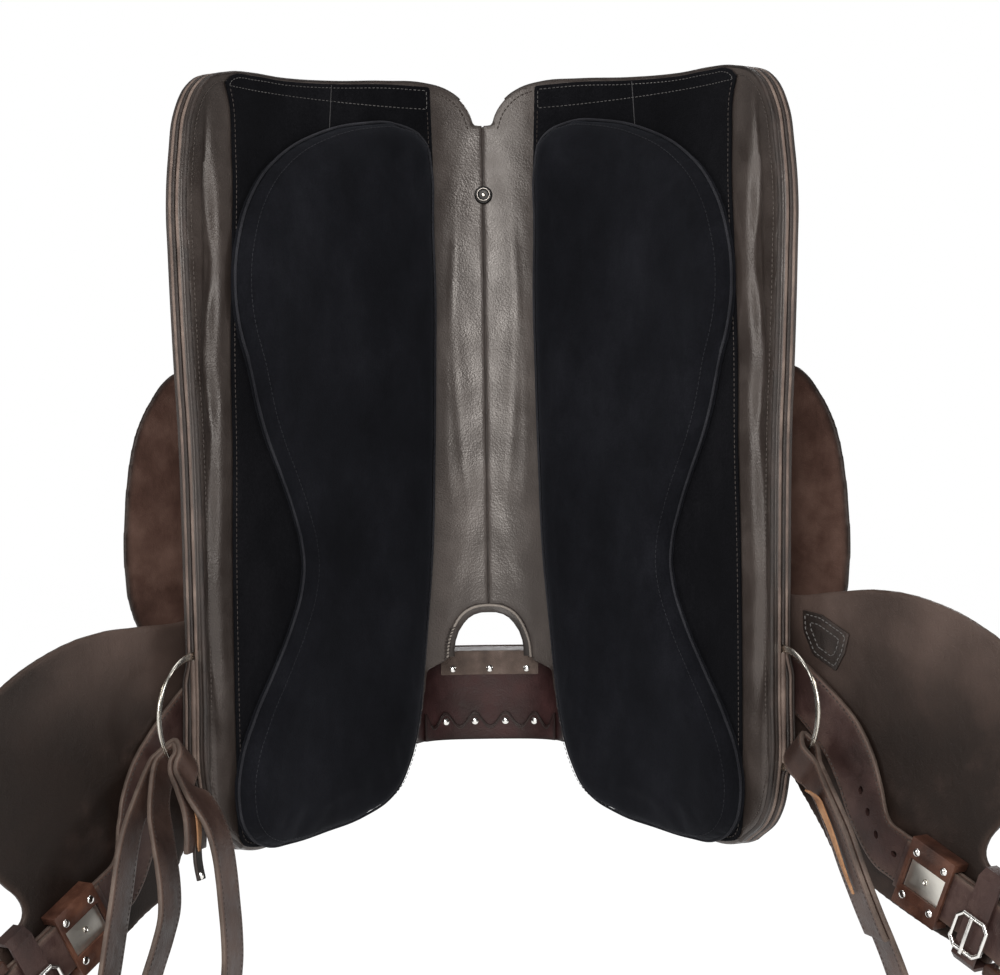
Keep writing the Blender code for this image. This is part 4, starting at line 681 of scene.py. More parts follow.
# Skirts: two thick bundles of leather over felt, outside the lining, open where the ring sits.
# The rims of skirt and lining show their stacked layers, so each layer has a welt of its own; the two dark
# welts in the middle are also painted shade in the gaps between the layers.
SKIRT_THICK = 0.0093
SKIN_OUT = LINING_THICK + GAP + SKIRT_THICK
SKIRT_INNER_SHARES = rows_of(1000, 216, -742, 190, -552, 136, -527, 130, -450, 112, -390, 75, -355, 70, 0,
    70, 955)
SKIRT_LEATHER = leather("skirt_leather", (0.020, 0.0115, 0.0090), (0.039, 0.022, 0.0165),
                        (0.072, 0.040, 0.029), 0.44, pores=700.0, grain=0.2, creases=0.25,
                        edge=(0.012, 0.008, 0.007))
EDGE_LEATHER = leather("edge_leather", (0.050, 0.034, 0.027), (0.115, 0.080, 0.064),
                       (0.230, 0.172, 0.140), 0.55, pores=1500.0, grain=0.5, creases=0.9,
                       stretch=(1.0, 1.0, 0.12), patch=30.0)
DARK_EDGE = leather("dark_edge", (0.006, 0.004, 0.0034), (0.014, 0.009, 0.0075),
                    (0.034, 0.022, 0.018), 0.50, pores=1500.0, grain=0.5, creases=0.7,
                    stretch=(1.0, 1.0, 0.15), patch=30.0)
PART_DEPTH = 0.0040
PART_ARC = 0.262
PART_REAR = -0.158
PART_FRONT = -0.262


def parted(spots):
    """Open the rim between lining and skirt where the rigging ring comes out."""
    along = np.clip((PART_REAR - spots[:, 1]) / 0.022, 0.0, 1.0)
    along *= np.clip((spots[:, 1] - PART_FRONT) / 0.022, 0.0, 1.0)
    out = np.clip((np.abs(spots[:, 0]) - PART_ARC) / 0.035, 0.0, 1.0)
    spots[:, 2] += PART_DEPTH * out * along * along * (3 - 2 * along)
    return spots


def marked(piece, near):
    """Give each point of a piece its nearness to the cut edge, for the material."""
    mark = piece.data.attributes.new("rim", "FLOAT", "POINT")
    mark.data.foreach_set("value", near.astype(np.float32))
    return piece


def rimmed(piece, spots, line, reach):
    """Note how near each flat place is to the piece's cut edge, for its worn colour."""
    return marked(piece, np.clip(1.0 - edge_distance(spots[:, :2], line) / reach, 0.0, 1.0))


skirt_outline = spread(LINING_SHARES[4:29] + SKIRT_INNER_SHARES)
skirt_corners = (24, 25, 27, len(skirt_outline) - 1)
skirt = slab("skirt_right_leather", [(skirt_outline, skirt_corners)], LINING_THICK + GAP,
             SKIN_OUT, 0.003)
skirt_line = traced(skirt_outline, skirt_corners, 0.002)
rimmed(skirt, spots_of(skirt), skirt_line, 0.004)
put(skirt, bent(parted(spots_of(skirt))))
paired(skirt, "skirt", SKIRT_LEATHER)
rim = inset(lining_line, 0.0012)
rim = rim[(rim[:, 0] > 0.265) | ((rim[:, 1] > 0.30) & (rim[:, 0] > 0.02))]
start = int(np.argmax(np.linalg.norm(np.roll(rim, 1, axis=0) - rim, axis=1)))
rim = np.roll(rim, -start, axis=0)
rim = rim[np.concatenate([[True], np.linalg.norm(np.diff(rim, axis=0), axis=1) < 0.01])]
# The two dark welts in the middle of the rim are painted shade in the gaps between the stacked layers.
WELTS = [("lining_face", 0.0022, 0.0021, DARK_EDGE), ("lining_felt_gap_shade", 0.0058, 0.0014, DARK_EDGE),
         ("lining_back", 0.0089, 0.0019, EDGE_LEATHER), ("skirt_base_gap_shade", 0.0131, 0.0016, DARK_EDGE),
         ("skirt_felt", 0.0161, 0.0018, EDGE_LEATHER), ("skirt_face", 0.0191, 0.0014, DARK_EDGE)]
for name, rise, radius, paint in WELTS:
    for side, label in SIDES:
        run = level(rim * (side, 1.0), rise)
        if rise > LINING_THICK:
            run = parted(run)
        bead(f"{name}_welt_{label}", bent(run), radius, paint, "saddle")
row = inset(skirt_line, 0.0075)
for side, label in SIDES:
    stitches(f"skirt_stitches_{label}", row * (side, 1.0), lambda rows: bent(parted(rows)),
             SKIN_OUT + 0.0001, PALE_THREAD, "saddle")


# Rigging rings: half-round steel plates sewn in between lining and skirt at the front.
# Each is a flat bar with worn round edges, and its straight side is hidden in the skirt.
RING_ALONG = -0.203
RING_ARC = 0.305
RING_RADIUS = 0.052
RING_BAR = 0.0075
RING_THICK = 0.003
RING_ANCHOR_ARC = 0.264
RING_ANCHOR_HALF = 0.038
RING_POINTS = 56
WRAP_ARC = 0.3105
WRAP_HALF = 0.0445
WRAP_RADIUS = 0.0028


def metal(name, colour, rough, scratch=0.12):
    """Worn bright metal: fine brushed scratches and a finish that varies a little."""
    paint, tree, shader, place = painted(name)
    shader["Metallic"].default_value = 1.0
    tarnish = noise(tree, place, 45.0, 5.0, 0.6)
    dull = tuple(0.62 * part for part in colour)
    brush = noise(tree, place, 900.0, 3.0, 0.6, (1.0, 1.0, 0.15))
    wire(tree, shader, {"Base Color": ramp(tree, tarnish, [(0.25, dull), (0.45, colour), (0.9, colour)]),
                        "Roughness": spread_value(tree, tarnish, rough + 0.12, rough - 0.04),
                        "Normal": bump(tree, brush, scratch, 0.0002)})
    return paint


STEEL = metal("worn_steel", (0.72, 0.68, 0.61), 0.20, scratch=0.04)


def half_round(radius, arc):
    steps = [math.pi * (0.5 - step / RING_POINTS) for step in range(RING_POINTS + 1)]
    return [(arc + radius * math.cos(turn), RING_ALONG + radius * math.sin(turn)) for turn in steps]


ring_outer = half_round(RING_RADIUS, RING_ARC)
ring_outer += [(RING_ANCHOR_ARC, RING_ALONG - RING_ANCHOR_HALF),
               (RING_ANCHOR_ARC, RING_ALONG + RING_ANCHOR_HALF)]
ring_hole = half_round(RING_RADIUS - RING_BAR, RING_ARC + RING_BAR)
plate = pattern("rigging_ring_right", [(ring_outer, "all"), (ring_hole, "all")],
                LINING_THICK + GAP, LINING_THICK + GAP + RING_THICK, round_edge=0.0013)
put(plate, bent(spots_of(plate)))
paired(plate, "rigging_plate", STEEL)
wrap = evenly(np.array([(WRAP_ARC, RING_ALONG + WRAP_HALF), (WRAP_ARC, RING_ALONG - WRAP_HALF)]), 0.002)
for side, label in SIDES:
    bead(f"rigging_wrap_{label}", bent(level(wrap * (side, 1.0), LINING_THICK + GAP + RING_THICK / 2)),
         WRAP_RADIUS, EDGE_LEATHER, "saddle")


# Snap, seam and hand hole: a blackened stud with a bright ring sits on the joined spine.
# The two lining halves meet in a dark sewn seam, and a bound edge runs round the hand hole.
SNAP_ALONG = 0.236
SNAP_LIFT = 0.0006
SNAP_BASE = rows_of(10000, 0, 9, 48, 9, 62, 22, 76, 18, 80, 6, 80, 0, 0, 0)
SNAP_RING = rows_of(10000, 47, 8, 48, 32, 54, 40, 61, 32, 62, 8, 47, 8)
SNAP_POST = rows_of(10000, 0, 30, 13, 29, 20, 20, 19, 4, 0, 4)
HAND_CORE = 0.0030
BINDING_LINE_SHARES = rows_of(1000, 116, -520, 111, -470, 85, -414, 48, -386, 0, -380)
WHIP_SHARES = rows_of(10000, 1160, -5200, 1110, -4700, 985, -4400)
WHIP_PITCH = 0.0028
BINDING_SEAM_SHARES = rows_of(10000, 1165, -5220, 1140, -4700, 890, -4140, 505, -3855)


def smoother(line, rounds=2):
    """A line with its corners cut off, again and again."""
    line = np.array(line, float)
    for _ in range(rounds):
        near = 0.75 * line[:-1] + 0.25 * line[1:]
        far = 0.25 * line[:-1] + 0.75 * line[1:]
        inner = np.stack([near, far], axis=1).reshape(-1, line.shape[1])
        line = np.vstack([line[:1], inner, line[-1:]])
    return line


def turned(name, profile, place, up, steps=40, rounds=2):
    """A turned piece: its profile of radius and height worn round, and swept about its axis."""
    line = smoother(profile, rounds)
    mesh = bpy.data.meshes.new(name)
    mesh.from_pydata([(one, 0.0, two) for one, two in line],
                     [(row, row + 1) for row in range(len(line) - 1)], [])
    piece = added(name, mesh)
    step = piece.modifiers.new("turn", "SCREW")
    step.steps = step.render_steps = steps
    step.use_merge_vertices = True
    step.merge_threshold = 0.00001
    apply_all(piece)
    stand = Vector(up).normalized().to_track_quat("Z", "Y").to_matrix().to_4x4()
    piece.data.transform(Matrix.Translation(Vector(place)) @ stand)
    return piece


BLACK_METAL = metal("blackened_metal", (0.022, 0.021, 0.020), 0.34)
GUN_METAL = metal("gun_metal", (0.23, 0.21, 0.19), 0.26)
SATIN_METAL = metal("satin_metal", (0.80, 0.77, 0.70), 0.40)
BRIGHT_METAL = metal("bright_metal", (0.86, 0.84, 0.80), 0.16)
snap_foot, snap_ahead = (Vector(spot) for spot in bent([(0.0, SNAP_ALONG + ahead, -SNAP_LIFT)
                                                        for ahead in (0.0, 0.01)]))
snap_up = Vector((1.0, 0.0, 0.0)).cross(snap_ahead - snap_foot)
if snap_up.y > 0.0:
    snap_up = -snap_up
dress(turned("spine_snap_base", SNAP_BASE, snap_foot, snap_up), BLACK_METAL, "spine_snap")
dress(turned("spine_snap_ring", SNAP_RING, snap_foot, snap_up, rounds=1), GUN_METAL, body="saddle")
dress(turned("spine_snap_post", SNAP_POST, snap_foot, snap_up), STEEL, body="saddle")
seam = np.array([(0.0, HALF_LENGTH * (0.900 - 1.284 * step / 60), 0.0028) for step in range(61)])
bead("spine_seam", bent(seam), 0.0013, DARK_EDGE, "saddle")


def rounded(piece, width, corner, segments):
    """Wear a piece's sharp edges round."""
    step = piece.modifiers.new("edge", "BEVEL")
    step.width = width
    step.segments = segments
    step.limit_method = "ANGLE"
    step.angle_limit = math.radians(corner)
    return apply_all(piece)


def head(name, profile, foot, up, paint, *nodes, body=None, steps=20, rounds=1, carry=None):
    """A dressed turned piece, such as a nail's head, carried to its place if asked."""
    piece = turned(name, profile, foot, up, steps, rounds)
    if carry:
        put(piece, carry(spots_of(piece)))
    return dress(piece, paint, *nodes, body=body)


def softened(part, name, width, segments=2, dissolve=1.5, corner=28.0):
    """A copy of a CAD piece with its triangles merged and its sharp edges worn round."""
    piece = added(name, frame["nodes"][part].data.copy())
    only(piece)
    bpy.ops.object.mode_set(mode="EDIT")
    bpy.ops.mesh.select_all(action="SELECT")
    bpy.ops.mesh.remove_doubles(threshold=0.00002)
    bpy.ops.mesh.dissolve_limited(angle_limit=math.radians(dissolve))
    bpy.ops.object.mode_set(mode="OBJECT")
    return rounded(piece, width, corner, segments)


def worn(part, stuff, width, paint, angle=45.0, **looks):
    """Dress a CAD piece with its edges worn round."""
    return dress(softened(part, f"{part}_{stuff}", width, **looks), paint, part, angle=angle)


DARK_LEATHER = leather("dark_leather", (0.0055, 0.0040, 0.0036), (0.0110, 0.0078, 0.0066),
                       (0.0260, 0.0165, 0.0130), 0.48, pores=800.0, grain=0.25, creases=0.3,
                       patch=6.0, edge=(0.060, 0.040, 0.030))
WELT_LEATHER = leather("welt_leather", (0.12, 0.10, 0.085), (0.21, 0.18, 0.155), (0.32, 0.28, 0.24),
                       0.45, pores=1500.0, grain=0.4)
worn("hand_hole_binding", "leather", 0.0014, DARK_LEATHER, segments=3)


def across(half):
    """A whole line from its off side half, listed from front to spine."""
    return half + [(-one, two) for one, two in reversed(half) if one > 0.0]


welt = evenly(smoother(spread(across(BINDING_LINE_SHARES)), 3), 0.0015)
bead("hand_hole_core", bent(level(welt, HAND_CORE / 2 + 0.0012)), HAND_CORE, DARK_LEATHER, "saddle")
bead("hand_hole_welt", bent(level(welt, -0.0002)), 0.0012, WELT_LEATHER, "saddle")
for side, label in SIDES:
    row = smoother(spread(BINDING_SEAM_SHARES), 3) * (side, 1.0)
    stitches(f"hand_hole_stitches_{label}", row, bent, -0.0002, DARK_THREAD, "saddle")
whip = evenly(smoother(spread(WHIP_SHARES)), WHIP_PITCH) * (-1.0, 1.0)
for count, (arc, along) in enumerate(whip, start=1):
    thread = [(arc - 0.0034, along - 0.0012, -0.0003), (arc, along, -0.0017),
              (arc + 0.0022, along + 0.0008, -0.0003)]
    bead(f"hand_hole_whip_{count}", bent(thread), 0.0005, DARK_EDGE, "saddle")


# Gullet: a reddish leather nailed under the fork, a raw strip at its rear, and a scalloped
# edging at its front. Domed steel nails hold them, and the cut sides stay pale.
FORK_REAR = -0.169
FORK_FRONT = -0.2485
FORK_LIFT = ROCKER * ((FORK_REAR + FORK_FRONT) / 2 / HALF_LENGTH) ** 2
GULLET_RISE = 0.048
NAIL_PITCH = 0.028
GULLET_SLOPE_SHARES = rows_of(100, 0, 100, 8, 600, 14, 2500, 19, 5000, 24, 7400, 40, 7400)
GULLET_THICK = 0.0025
EDGING_THICK = 0.0020
GULLET_HALF = 0.088
EDGING_HALF = 0.070
EDGING_MEAN = 0.0190
EDGING_WAVE = 0.0062
NAIL_PROFILE = rows_of(10000, 0, 18, 17, 15, 31, 7, 34, 0, 0, 0)
REAR_NAIL_PITCH = 0.034
REAR_NAIL_ALONG = -0.185
FRONT_NAIL_ALONG = -0.232
STRIP_HALF = 0.046
STRIP_FRONT = -0.1905
STRIP_THICK = 0.0006
GULLET = fold(GULLET_SLOPE_SHARES)
GULLET_LEATHER = leather("gullet_leather", (0.012, 0.0046, 0.0044), (0.027, 0.0105, 0.0104),
                         (0.052, 0.020, 0.0195), 0.50, pores=700.0, grain=0.35, creases=0.4,
                         patch=22.0, edge=(0.010, 0.005, 0.0045), gloss=0.22)
RAW_LEATHER = leather("raw_leather", (0.040, 0.026, 0.020), (0.085, 0.058, 0.046),
                      (0.150, 0.110, 0.090), 0.75, pores=1200.0, grain=0.6, creases=0.8,
                      stretch=(1.0, 1.0, 0.2), patch=60.0)


def in_gullet(spots):
    """Carry flat places to the underside of the fork's arch."""
    spots = np.asarray(spots, float)
    x, y, slope = (np.interp(np.abs(spots[:, 0]), GULLET[0], column) for column in GULLET[1:])
    side = np.where(spots[:, 0] < 0.0, -1.0, 1.0)
    return np.stack([side * (x + spots[:, 2] * np.sin(slope)),
                     y + GULLET_RISE + FORK_LIFT + spots[:, 2] * np.cos(slope), spots[:, 1]], axis=1)


def laid(name, loops, low, high, cell, puff, place, rim=0.0):
    """A cut leather with worn round edges, laid in its place, its rim noted if asked."""
    piece = slab(name, loops, low, high, cell, puff=puff, wear=4)
    spots = spots_of(piece)
    if rim:
        rimmed(piece, spots, traced(*loops[0], 0.002), rim)
    return put(piece, place(spots))


cover_line = [(-GULLET_HALF, FORK_FRONT), (GULLET_HALF, FORK_FRONT), (GULLET_HALF, FORK_REAR),
              (-GULLET_HALF, FORK_REAR)]
cover_low = -GAP - GULLET_THICK
cover = laid("gullet_cover_leather", [(cover_line, "all")], cover_low, -GAP, 0.002, 3.0, in_gullet, rim=0.006)
dress(cover, GULLET_LEATHER, "gullet_cover")
strip_line = [(-STRIP_HALF, STRIP_FRONT), (STRIP_HALF, STRIP_FRONT), (STRIP_HALF, FORK_REAR),
              (-STRIP_HALF, FORK_REAR)]
strip = laid("gullet_rear_strip", [(strip_line, "all")], cover_low - STRIP_THICK, cover_low, 0.002,
             8.0, in_gullet)
dress(strip, RAW_LEATHER, body="saddle")
wave = []
for step in range(97):
    reach = EDGING_HALF * (1 - step / 48)
    turn = 2 * math.pi * (reach / NAIL_PITCH - 0.5)
    wave.append((reach, FORK_FRONT + EDGING_MEAN + EDGING_WAVE * math.cos(turn)))
edging_line = [(-EDGING_HALF, FORK_FRONT), (EDGING_HALF, FORK_FRONT)] + wave
edging_low = cover_low - GAP - EDGING_THICK
edging = laid("gullet_edging_leather", [(edging_line, "all")], edging_low, cover_low - GAP, 0.0014,
              3.0, in_gullet, rim=0.004)
dress(edging, GULLET_LEATHER, "gullet_edging")
mark = np.array(wave) + (0.0, -0.0028)
bead("gullet_edging_crease", in_gullet(level(mark[6:-6], edging_low + 0.0001)), 0.0004, DARK_EDGE, "saddle")
NAIL_ROWS = [("rear", REAR_NAIL_ALONG, cover_low - GAP, [REAR_NAIL_PITCH * step for step in (-1, 0, 1)]),
             ("front", FRONT_NAIL_ALONG, edging_low - GAP, [NAIL_PITCH * (step - 1.5) for step in range(4)])]
for row, along, rise, places in NAIL_ROWS:
    for count, spot in enumerate(places, start=1):
        foot, tip = in_gullet([(spot, along, rise), (spot, along, rise - 0.001)])
        head(f"gullet_nail_{row}_{count}_dome", NAIL_PROFILE, foot, tip - foot, BRIGHT_METAL,
             f"gullet_nail_{row}_{count}")
side_line = evenly(np.array([(GULLET_HALF, FORK_FRONT + 0.002), (GULLET_HALF, FORK_REAR - 0.002)]), 0.0025)
for side, label in SIDES:
    bead(f"gullet_side_{label}", in_gullet(level(side_line * (side, 1.0), cover_low + 0.0008)), 0.0010,
         WELT_LEATHER, "saddle")


# Fork, swell and horn: a stiff arch covered in smooth leather, with the wrapped horn on top.
# The leather is stretched over the swell and sewn behind; the horn's cap is a rounded disc.
SWELL_HALF = 0.162
SWELL_TOP = 0.104
HORN_FLAT = 0.034
SWELL_SHARES = rows_of(100, 94, -95, 100, -43, 99, 0, 93, 37, 77, 69, 52, 90)
SWELL_THICK = 0.0030
OVERRUN = 0.010
FORM_DEPTH = 0.060
HORN_ALONG = -0.2195
HORN_PROFILE = rows_of(10000, 0, 738, 290, 736, 312, 700, 300, 655, 175, 570, 155, 450, 155, 180, 190, 95,
    295, 52, 300, 0, 0, 0)
CAP_PROFILE = rows_of(10000, 0, 829, 200, 826, 345, 808, 362, 775, 358, 743, 0, 743)
SADDLE_LEATHER = leather("saddle_leather", (0.016, 0.0088, 0.0070), (0.034, 0.018, 0.0135),
                         (0.066, 0.036, 0.026), 0.40, pores=700.0, grain=0.22, creases=0.25,
                         patch=8.0, edge=(0.010, 0.0065, 0.0055))


def swell_line(away=0.0):
    """The fork's outer line from the near side over the top to the off side."""
    half = [(SWELL_HALF * one, SWELL_TOP * two) for one, two in SWELL_SHARES]
    half += [(HORN_FLAT, SWELL_TOP)]
    line = np.array([(-one, two) for one, two in half] + list(reversed(half)))
    ahead = np.gradient(line, axis=0)
    ahead /= np.linalg.norm(ahead, axis=1)[:, None]
    return [tuple(spot) for spot in line + away * np.stack([-ahead[:, 1], ahead[:, 0]], axis=1)]


form_line = [(0.31, 0.30), (0.31, -0.34), (-0.31, -0.34), (-0.31, 0.30)]
form = slab("skirt_form", [(form_line, "all")], -FORM_DEPTH, SKIN_OUT + GAP, 0.007, wear=0)
put(form, bent(spots_of(form)))
form.data.flip_normals()


def fitted(piece):
    """Cut a piece's foot to the back, where it stands on the skirts."""
    piece.data.transform(Matrix.Translation((0.0, FORK_LIFT, 0.0)))
    step = piece.modifiers.new("foot", "BOOLEAN")
    step.solver = "EXACT"
    step.object = form
    return apply_all(piece)


arch = in_gullet([(0.1027 * (step / 24 - 1), 0.0, 0.0) for step in range(49)])[:, :2] - (0.0, FORK_LIFT)
foot_drop = np.array([(0.0, -OVERRUN)])
inner = np.vstack([arch[:1] + foot_drop, arch, arch[-1:] + foot_drop])
outline = swell_line() + [tuple(spot) for spot in inner[::-1]]
last = len(swell_line())
fork = pattern("fork_shell", [(outline, [0, last - 1, last, last + 1, len(outline) - 2, len(outline) - 1])],
               FORK_FRONT, FORK_REAR, round_edge=0.003)
dress(fitted(fork), GULLET_LEATHER, "fork")
outline = swell_line(GAP + SWELL_THICK) + swell_line(GAP)[::-1]
swell = pattern("swell_cover_leather", [(outline, (0, last - 1, last, 2 * last - 1))],
                FORK_FRONT - 4 * GAP, FORK_REAR + 4 * GAP, round_edge=0.0012)
dress(fitted(swell), SADDLE_LEATHER, "swell_cover")
bpy.data.objects.remove(form, do_unlink=True)
horn_foot = (0.0, SWELL_TOP + FORK_LIFT + GAP + SWELL_THICK + GAP, HORN_ALONG)
for part, profile in (("horn", HORN_PROFILE), ("horn_cap", CAP_PROFILE)):
    head(f"{part}_leather", profile, horn_foot, (0.0, 1.0, 0.0), SADDLE_LEATHER, part, steps=64, rounds=2)


# Seat: a stiff ground seat, a padded suede seat on it, and the leather cantle with its roll.
# The seat's foam is cut to the outline, crowned, filled, and sewn down near its edge.
GROUND_THICK = 0.006
GROUND_HALF = 0.130
CANTLE_ALONG = 0.085
CANTLE_RADIUS = 0.140
CANTLE_THICK = 0.016
CANTLE_HEIGHT = 0.105
CANTLE_TURN = 1.30
CANTLE_LEAN = 0.30
CANTLE_CLEAR = 0.001
ROLL_RADIUS = 0.0105
ROLL_RISE = 0.0060
CUSHION_EDGE = 0.006
CUSHION_THICK = 0.018
CUSHION_ROLL = 0.030
CUSHION_REAR_RISE = 0.030
CUSHION_FRONT_RISE = 0.016
CUSHION_INSET = 0.006
GROUND_SHARES = rows_of(1000, 0, -345, 300, -345, 420, -390, 550, -455, 750, -475, 930, -455, 990, -380,
    1000, -200, 1000, 0, 1000, 180)
CUSHION_SHARES = rows_of(1000, 0, -340, 400, -335, 600, -300, 710, -220, 760, -90, 770, 60, 770, 180)
CANTLE_STEPS = 16


def seat_outline(shares, away):
    """The seat's outline in the flat: its sides, and the cantle's arc at the back."""
    half = spread(shares, GROUND_HALF)
    radius = CANTLE_RADIUS - CANTLE_CLEAR - away
    for step in range(1, CANTLE_STEPS // 2 + 1):
        turn = CANTLE_TURN * (1 - 2 * step / CANTLE_STEPS)
        half.append((radius * math.sin(turn), CANTLE_ALONG + radius * math.cos(turn)))
    corners = (len(shares) - 1, len(shares), 2 * len(half) - 2 - len(shares))
    return half + [(-one, two) for one, two in reversed(half[1:-1])], corners


ground = laid("ground_seat_leather", [seat_outline(GROUND_SHARES, 0.0)], SKIN_OUT + GAP,
              SKIN_OUT + GAP + GROUND_THICK, 0.003, 1.0, bent, rim=0.005)
dress(ground, SADDLE_LEATHER, "ground_seat")
cushion_loop = seat_outline(CUSHION_SHARES, CUSHION_INSET)
cushion_line = traced(*cushion_loop, 0.002)
cushion = slab("seat_cushion_suede", [cushion_loop], 0.0, CUSHION_THICK, 0.004, wear=3)
SEAT_LEVEL = SKIN_OUT + GAP + GROUND_THICK + GAP


def seat_crown(flat):
    """How high the padded seat rises over its flat place."""
    inward = np.minimum(edge_distance(flat, cushion_line) / CUSHION_ROLL, 1.0)
    rear = np.clip((flat[:, 1] - 0.10 * HALF_LENGTH) / (0.55 * HALF_LENGTH), 0.0, 1.0)
    front = np.clip((-0.02 * HALF_LENGTH - flat[:, 1]) / (0.30 * HALF_LENGTH), 0.0, 1.0)
    rise = CUSHION_THICK + CUSHION_REAR_RISE * rear ** 2 + CUSHION_FRONT_RISE * front ** 2
    return CUSHION_EDGE + (rise - CUSHION_EDGE) * np.sqrt(1.0 - (1.0 - inward) ** 2)


spots = spots_of(cushion)
share = spots[:, 2] / CUSHION_THICK
spots[:, 2] = SEAT_LEVEL + share * (seat_crown(spots[:, :2]) - 0.0015)
put(cushion, spots)
filled(cushion, 3.0, 0.0018, share < 0.15)
subdivided(cushion)
put(cushion, bent(spots_of(cushion)))
dress(cushion, SUEDE, "seat_cushion", angle=80.0)


def on_seat(rows):
    """Flat places carried to the padded seat's own top, at a rise over it."""
    rows = np.array(rows, float)
    rows[:, 2] += SEAT_LEVEL + seat_crown(rows[:, :2]) - 0.0015
    return bent(rows)


stitches("seat_cushion_stitches", inset(cushion_line, 0.013), on_seat, 0.0003, PIPING, "saddle", girth=0.0004)
ring = level(cushion_line[:-1], SEAT_LEVEL + CUSHION_EDGE)
bead("seat_cushion_piping", bent(ring), 0.0014, PIPING, "saddle", closed=True)


def thickened(piece, thick, edge, corner, segments, rim=0):
    """Give an open sheet its thickness on both faces, and worn round edges."""
    step = piece.modifiers.new("thick", "SOLIDIFY")
    step.thickness = thick
    step.offset = 0.0
    step.material_offset_rim = rim
    return rounded(piece, edge, corner, segments)


def cantle_top(turn):
    return CANTLE_HEIGHT * (0.22 + 0.78 * np.cos(turn / CANTLE_TURN * math.pi / 2) ** 0.8)


def on_cantle(turn, out, height):
    """Places on the cantle: their turn, how far out from its inner face, and their height."""
    radius = CANTLE_RADIUS + out + CANTLE_LEAN * height
    return bent(np.stack([radius * np.sin(turn), CANTLE_ALONG + radius * np.cos(turn),
                          SKIN_OUT + height], axis=1))


only()
bpy.ops.mesh.primitive_grid_add(x_subdivisions=72, y_subdivisions=14, size=2.0)
cantle = bpy.context.object
cantle.name = "cantle_leather"
flat = spots_of(cantle)
turns = flat[:, 0] * CANTLE_TURN
tops = cantle_top(np.abs(turns)) - 0.0048
heights = 2 * GAP + (tops - 2 * GAP) * (flat[:, 1] + 1) / 2
put(cantle, on_cantle(turns, np.full(len(turns), CANTLE_THICK / 2), heights))
thickened(cantle, CANTLE_THICK, 0.004, 50.0, 3)
dress(cantle, SADDLE_LEATHER, "cantle")
turns = np.linspace(-CANTLE_TURN, CANTLE_TURN, 81)
route = on_cantle(turns, np.full(81, CANTLE_THICK / 2), cantle_top(turns) + ROLL_RISE)
dress(bead("cantle_roll_leather", route, ROLL_RADIUS, SADDLE_LEATHER, "saddle", sides=6), SADDLE_LEATHER,
      "cantle_roll", angle=60.0)


# Jockeys: the rear pair lies on the skirts behind the cantle, the seat pair hangs from the
# ground seat and stands off over the fenders. Each is one thick leather with creased edges.
JOCKEY_THICK = 0.0045
REAR_JOCKEY_SHARES = rows_of(1000, 45, 960, 75, 955, 100, 965, 250, 960, 420, 925, 560, 860, 640, 740, 665,
    560, 660, 400, 620, 330, 555, 330)
JOCKEY_SLOPE_SHARES = rows_of(1000, 0, 3000, 60, 8000, 125, 18000, 250, 33000, 300, 35500, 375, 12000, 458,
    20000, 542, 26000, 625, 30000, 708, 34000, 792, 38000, 875, 40000, 1500, 40000)
SEAT_JOCKEY_SHARES = rows_of(10000, 3563, -1667, 3563, 900, 4000, 2364, 5312, 2485, 7344, 2485, 8375, 2394,
    8875, 2082, 9166, 1727, 9531, 1167, 9781, 558, 9953, -233, 10063, -1176, 10109, -2121, 10078, -2830,
    9969, -3515, 9625, -4242, 8906, -4758, 7500, -4939, 5938, -4909, 5000, -4606, 4500, -3788, 4313, -2273,
    4281, -1879)
SEAT_JOCKEY_CORNERS = (0, 2, 22)
JOCKEY_LINE = fold(JOCKEY_SLOPE_SHARES)
JOCKEY_LEATHER = leather("jockey_leather", (0.025, 0.0125, 0.0092), (0.066, 0.034, 0.0255),
                         (0.125, 0.072, 0.055), 0.52, pores=700.0, grain=0.3, creases=0.4,
                         patch=15.0, edge=(0.010, 0.007, 0.006), gloss=0.30)


def on_jockey(spots):
    return bent(spots, JOCKEY_LINE)


radius = CANTLE_RADIUS + CANTLE_THICK + 3 * CANTLE_CLEAR
bend_line = []
for step in range(CANTLE_STEPS // 2):
    turn = CANTLE_TURN * (1 - 2 * step / CANTLE_STEPS)
    bend_line.append((radius * math.sin(turn), CANTLE_ALONG + radius * math.cos(turn)))
outline = spread(REAR_JOCKEY_SHARES) + bend_line
outline[0] = (bend_line[-1][0], outline[0][1])
corners = (0, len(REAR_JOCKEY_SHARES) - 1, len(REAR_JOCKEY_SHARES), len(outline) - 1)
rear_line = traced(outline, corners, 0.002)
rear_jockey = laid("rear_jockey_right_leather", [(outline, corners)], SKIN_OUT + GAP,
                   SKIN_OUT + GAP + JOCKEY_THICK, 0.003, 2.0, bent, rim=0.005)
paired(rear_jockey, "rear_jockey", JOCKEY_LEATHER)
outline = spread(SEAT_JOCKEY_SHARES)
jockey_line = traced(outline, SEAT_JOCKEY_CORNERS, 0.002)
seat_jockey = laid("seat_jockey_right_leather", [(outline, SEAT_JOCKEY_CORNERS)], SEAT_LEVEL,
                   SEAT_LEVEL + JOCKEY_THICK, 0.003, 2.0, on_jockey, rim=0.005)
paired(seat_jockey, "seat_jockey", JOCKEY_LEATHER)
rear_row = inset(rear_line, 0.006)
rear_row = rear_row[rear_row[:, 0] > 0.029]
jockey_row = inset(jockey_line, 0.006)
for side, label in SIDES:
    stitches(f"rear_jockey_stitches_{label}", rear_row * (side, 1.0), bent,
             SKIN_OUT + GAP + JOCKEY_THICK + 0.0001, PALE_THREAD, "saddle")
    stitches(f"seat_jockey_stitches_{label}", jockey_row * (side, 1.0), on_jockey,
             SEAT_LEVEL + JOCKEY_THICK + 0.0001, PALE_THREAD, HOMES[f"seat_jockey_{label}"])


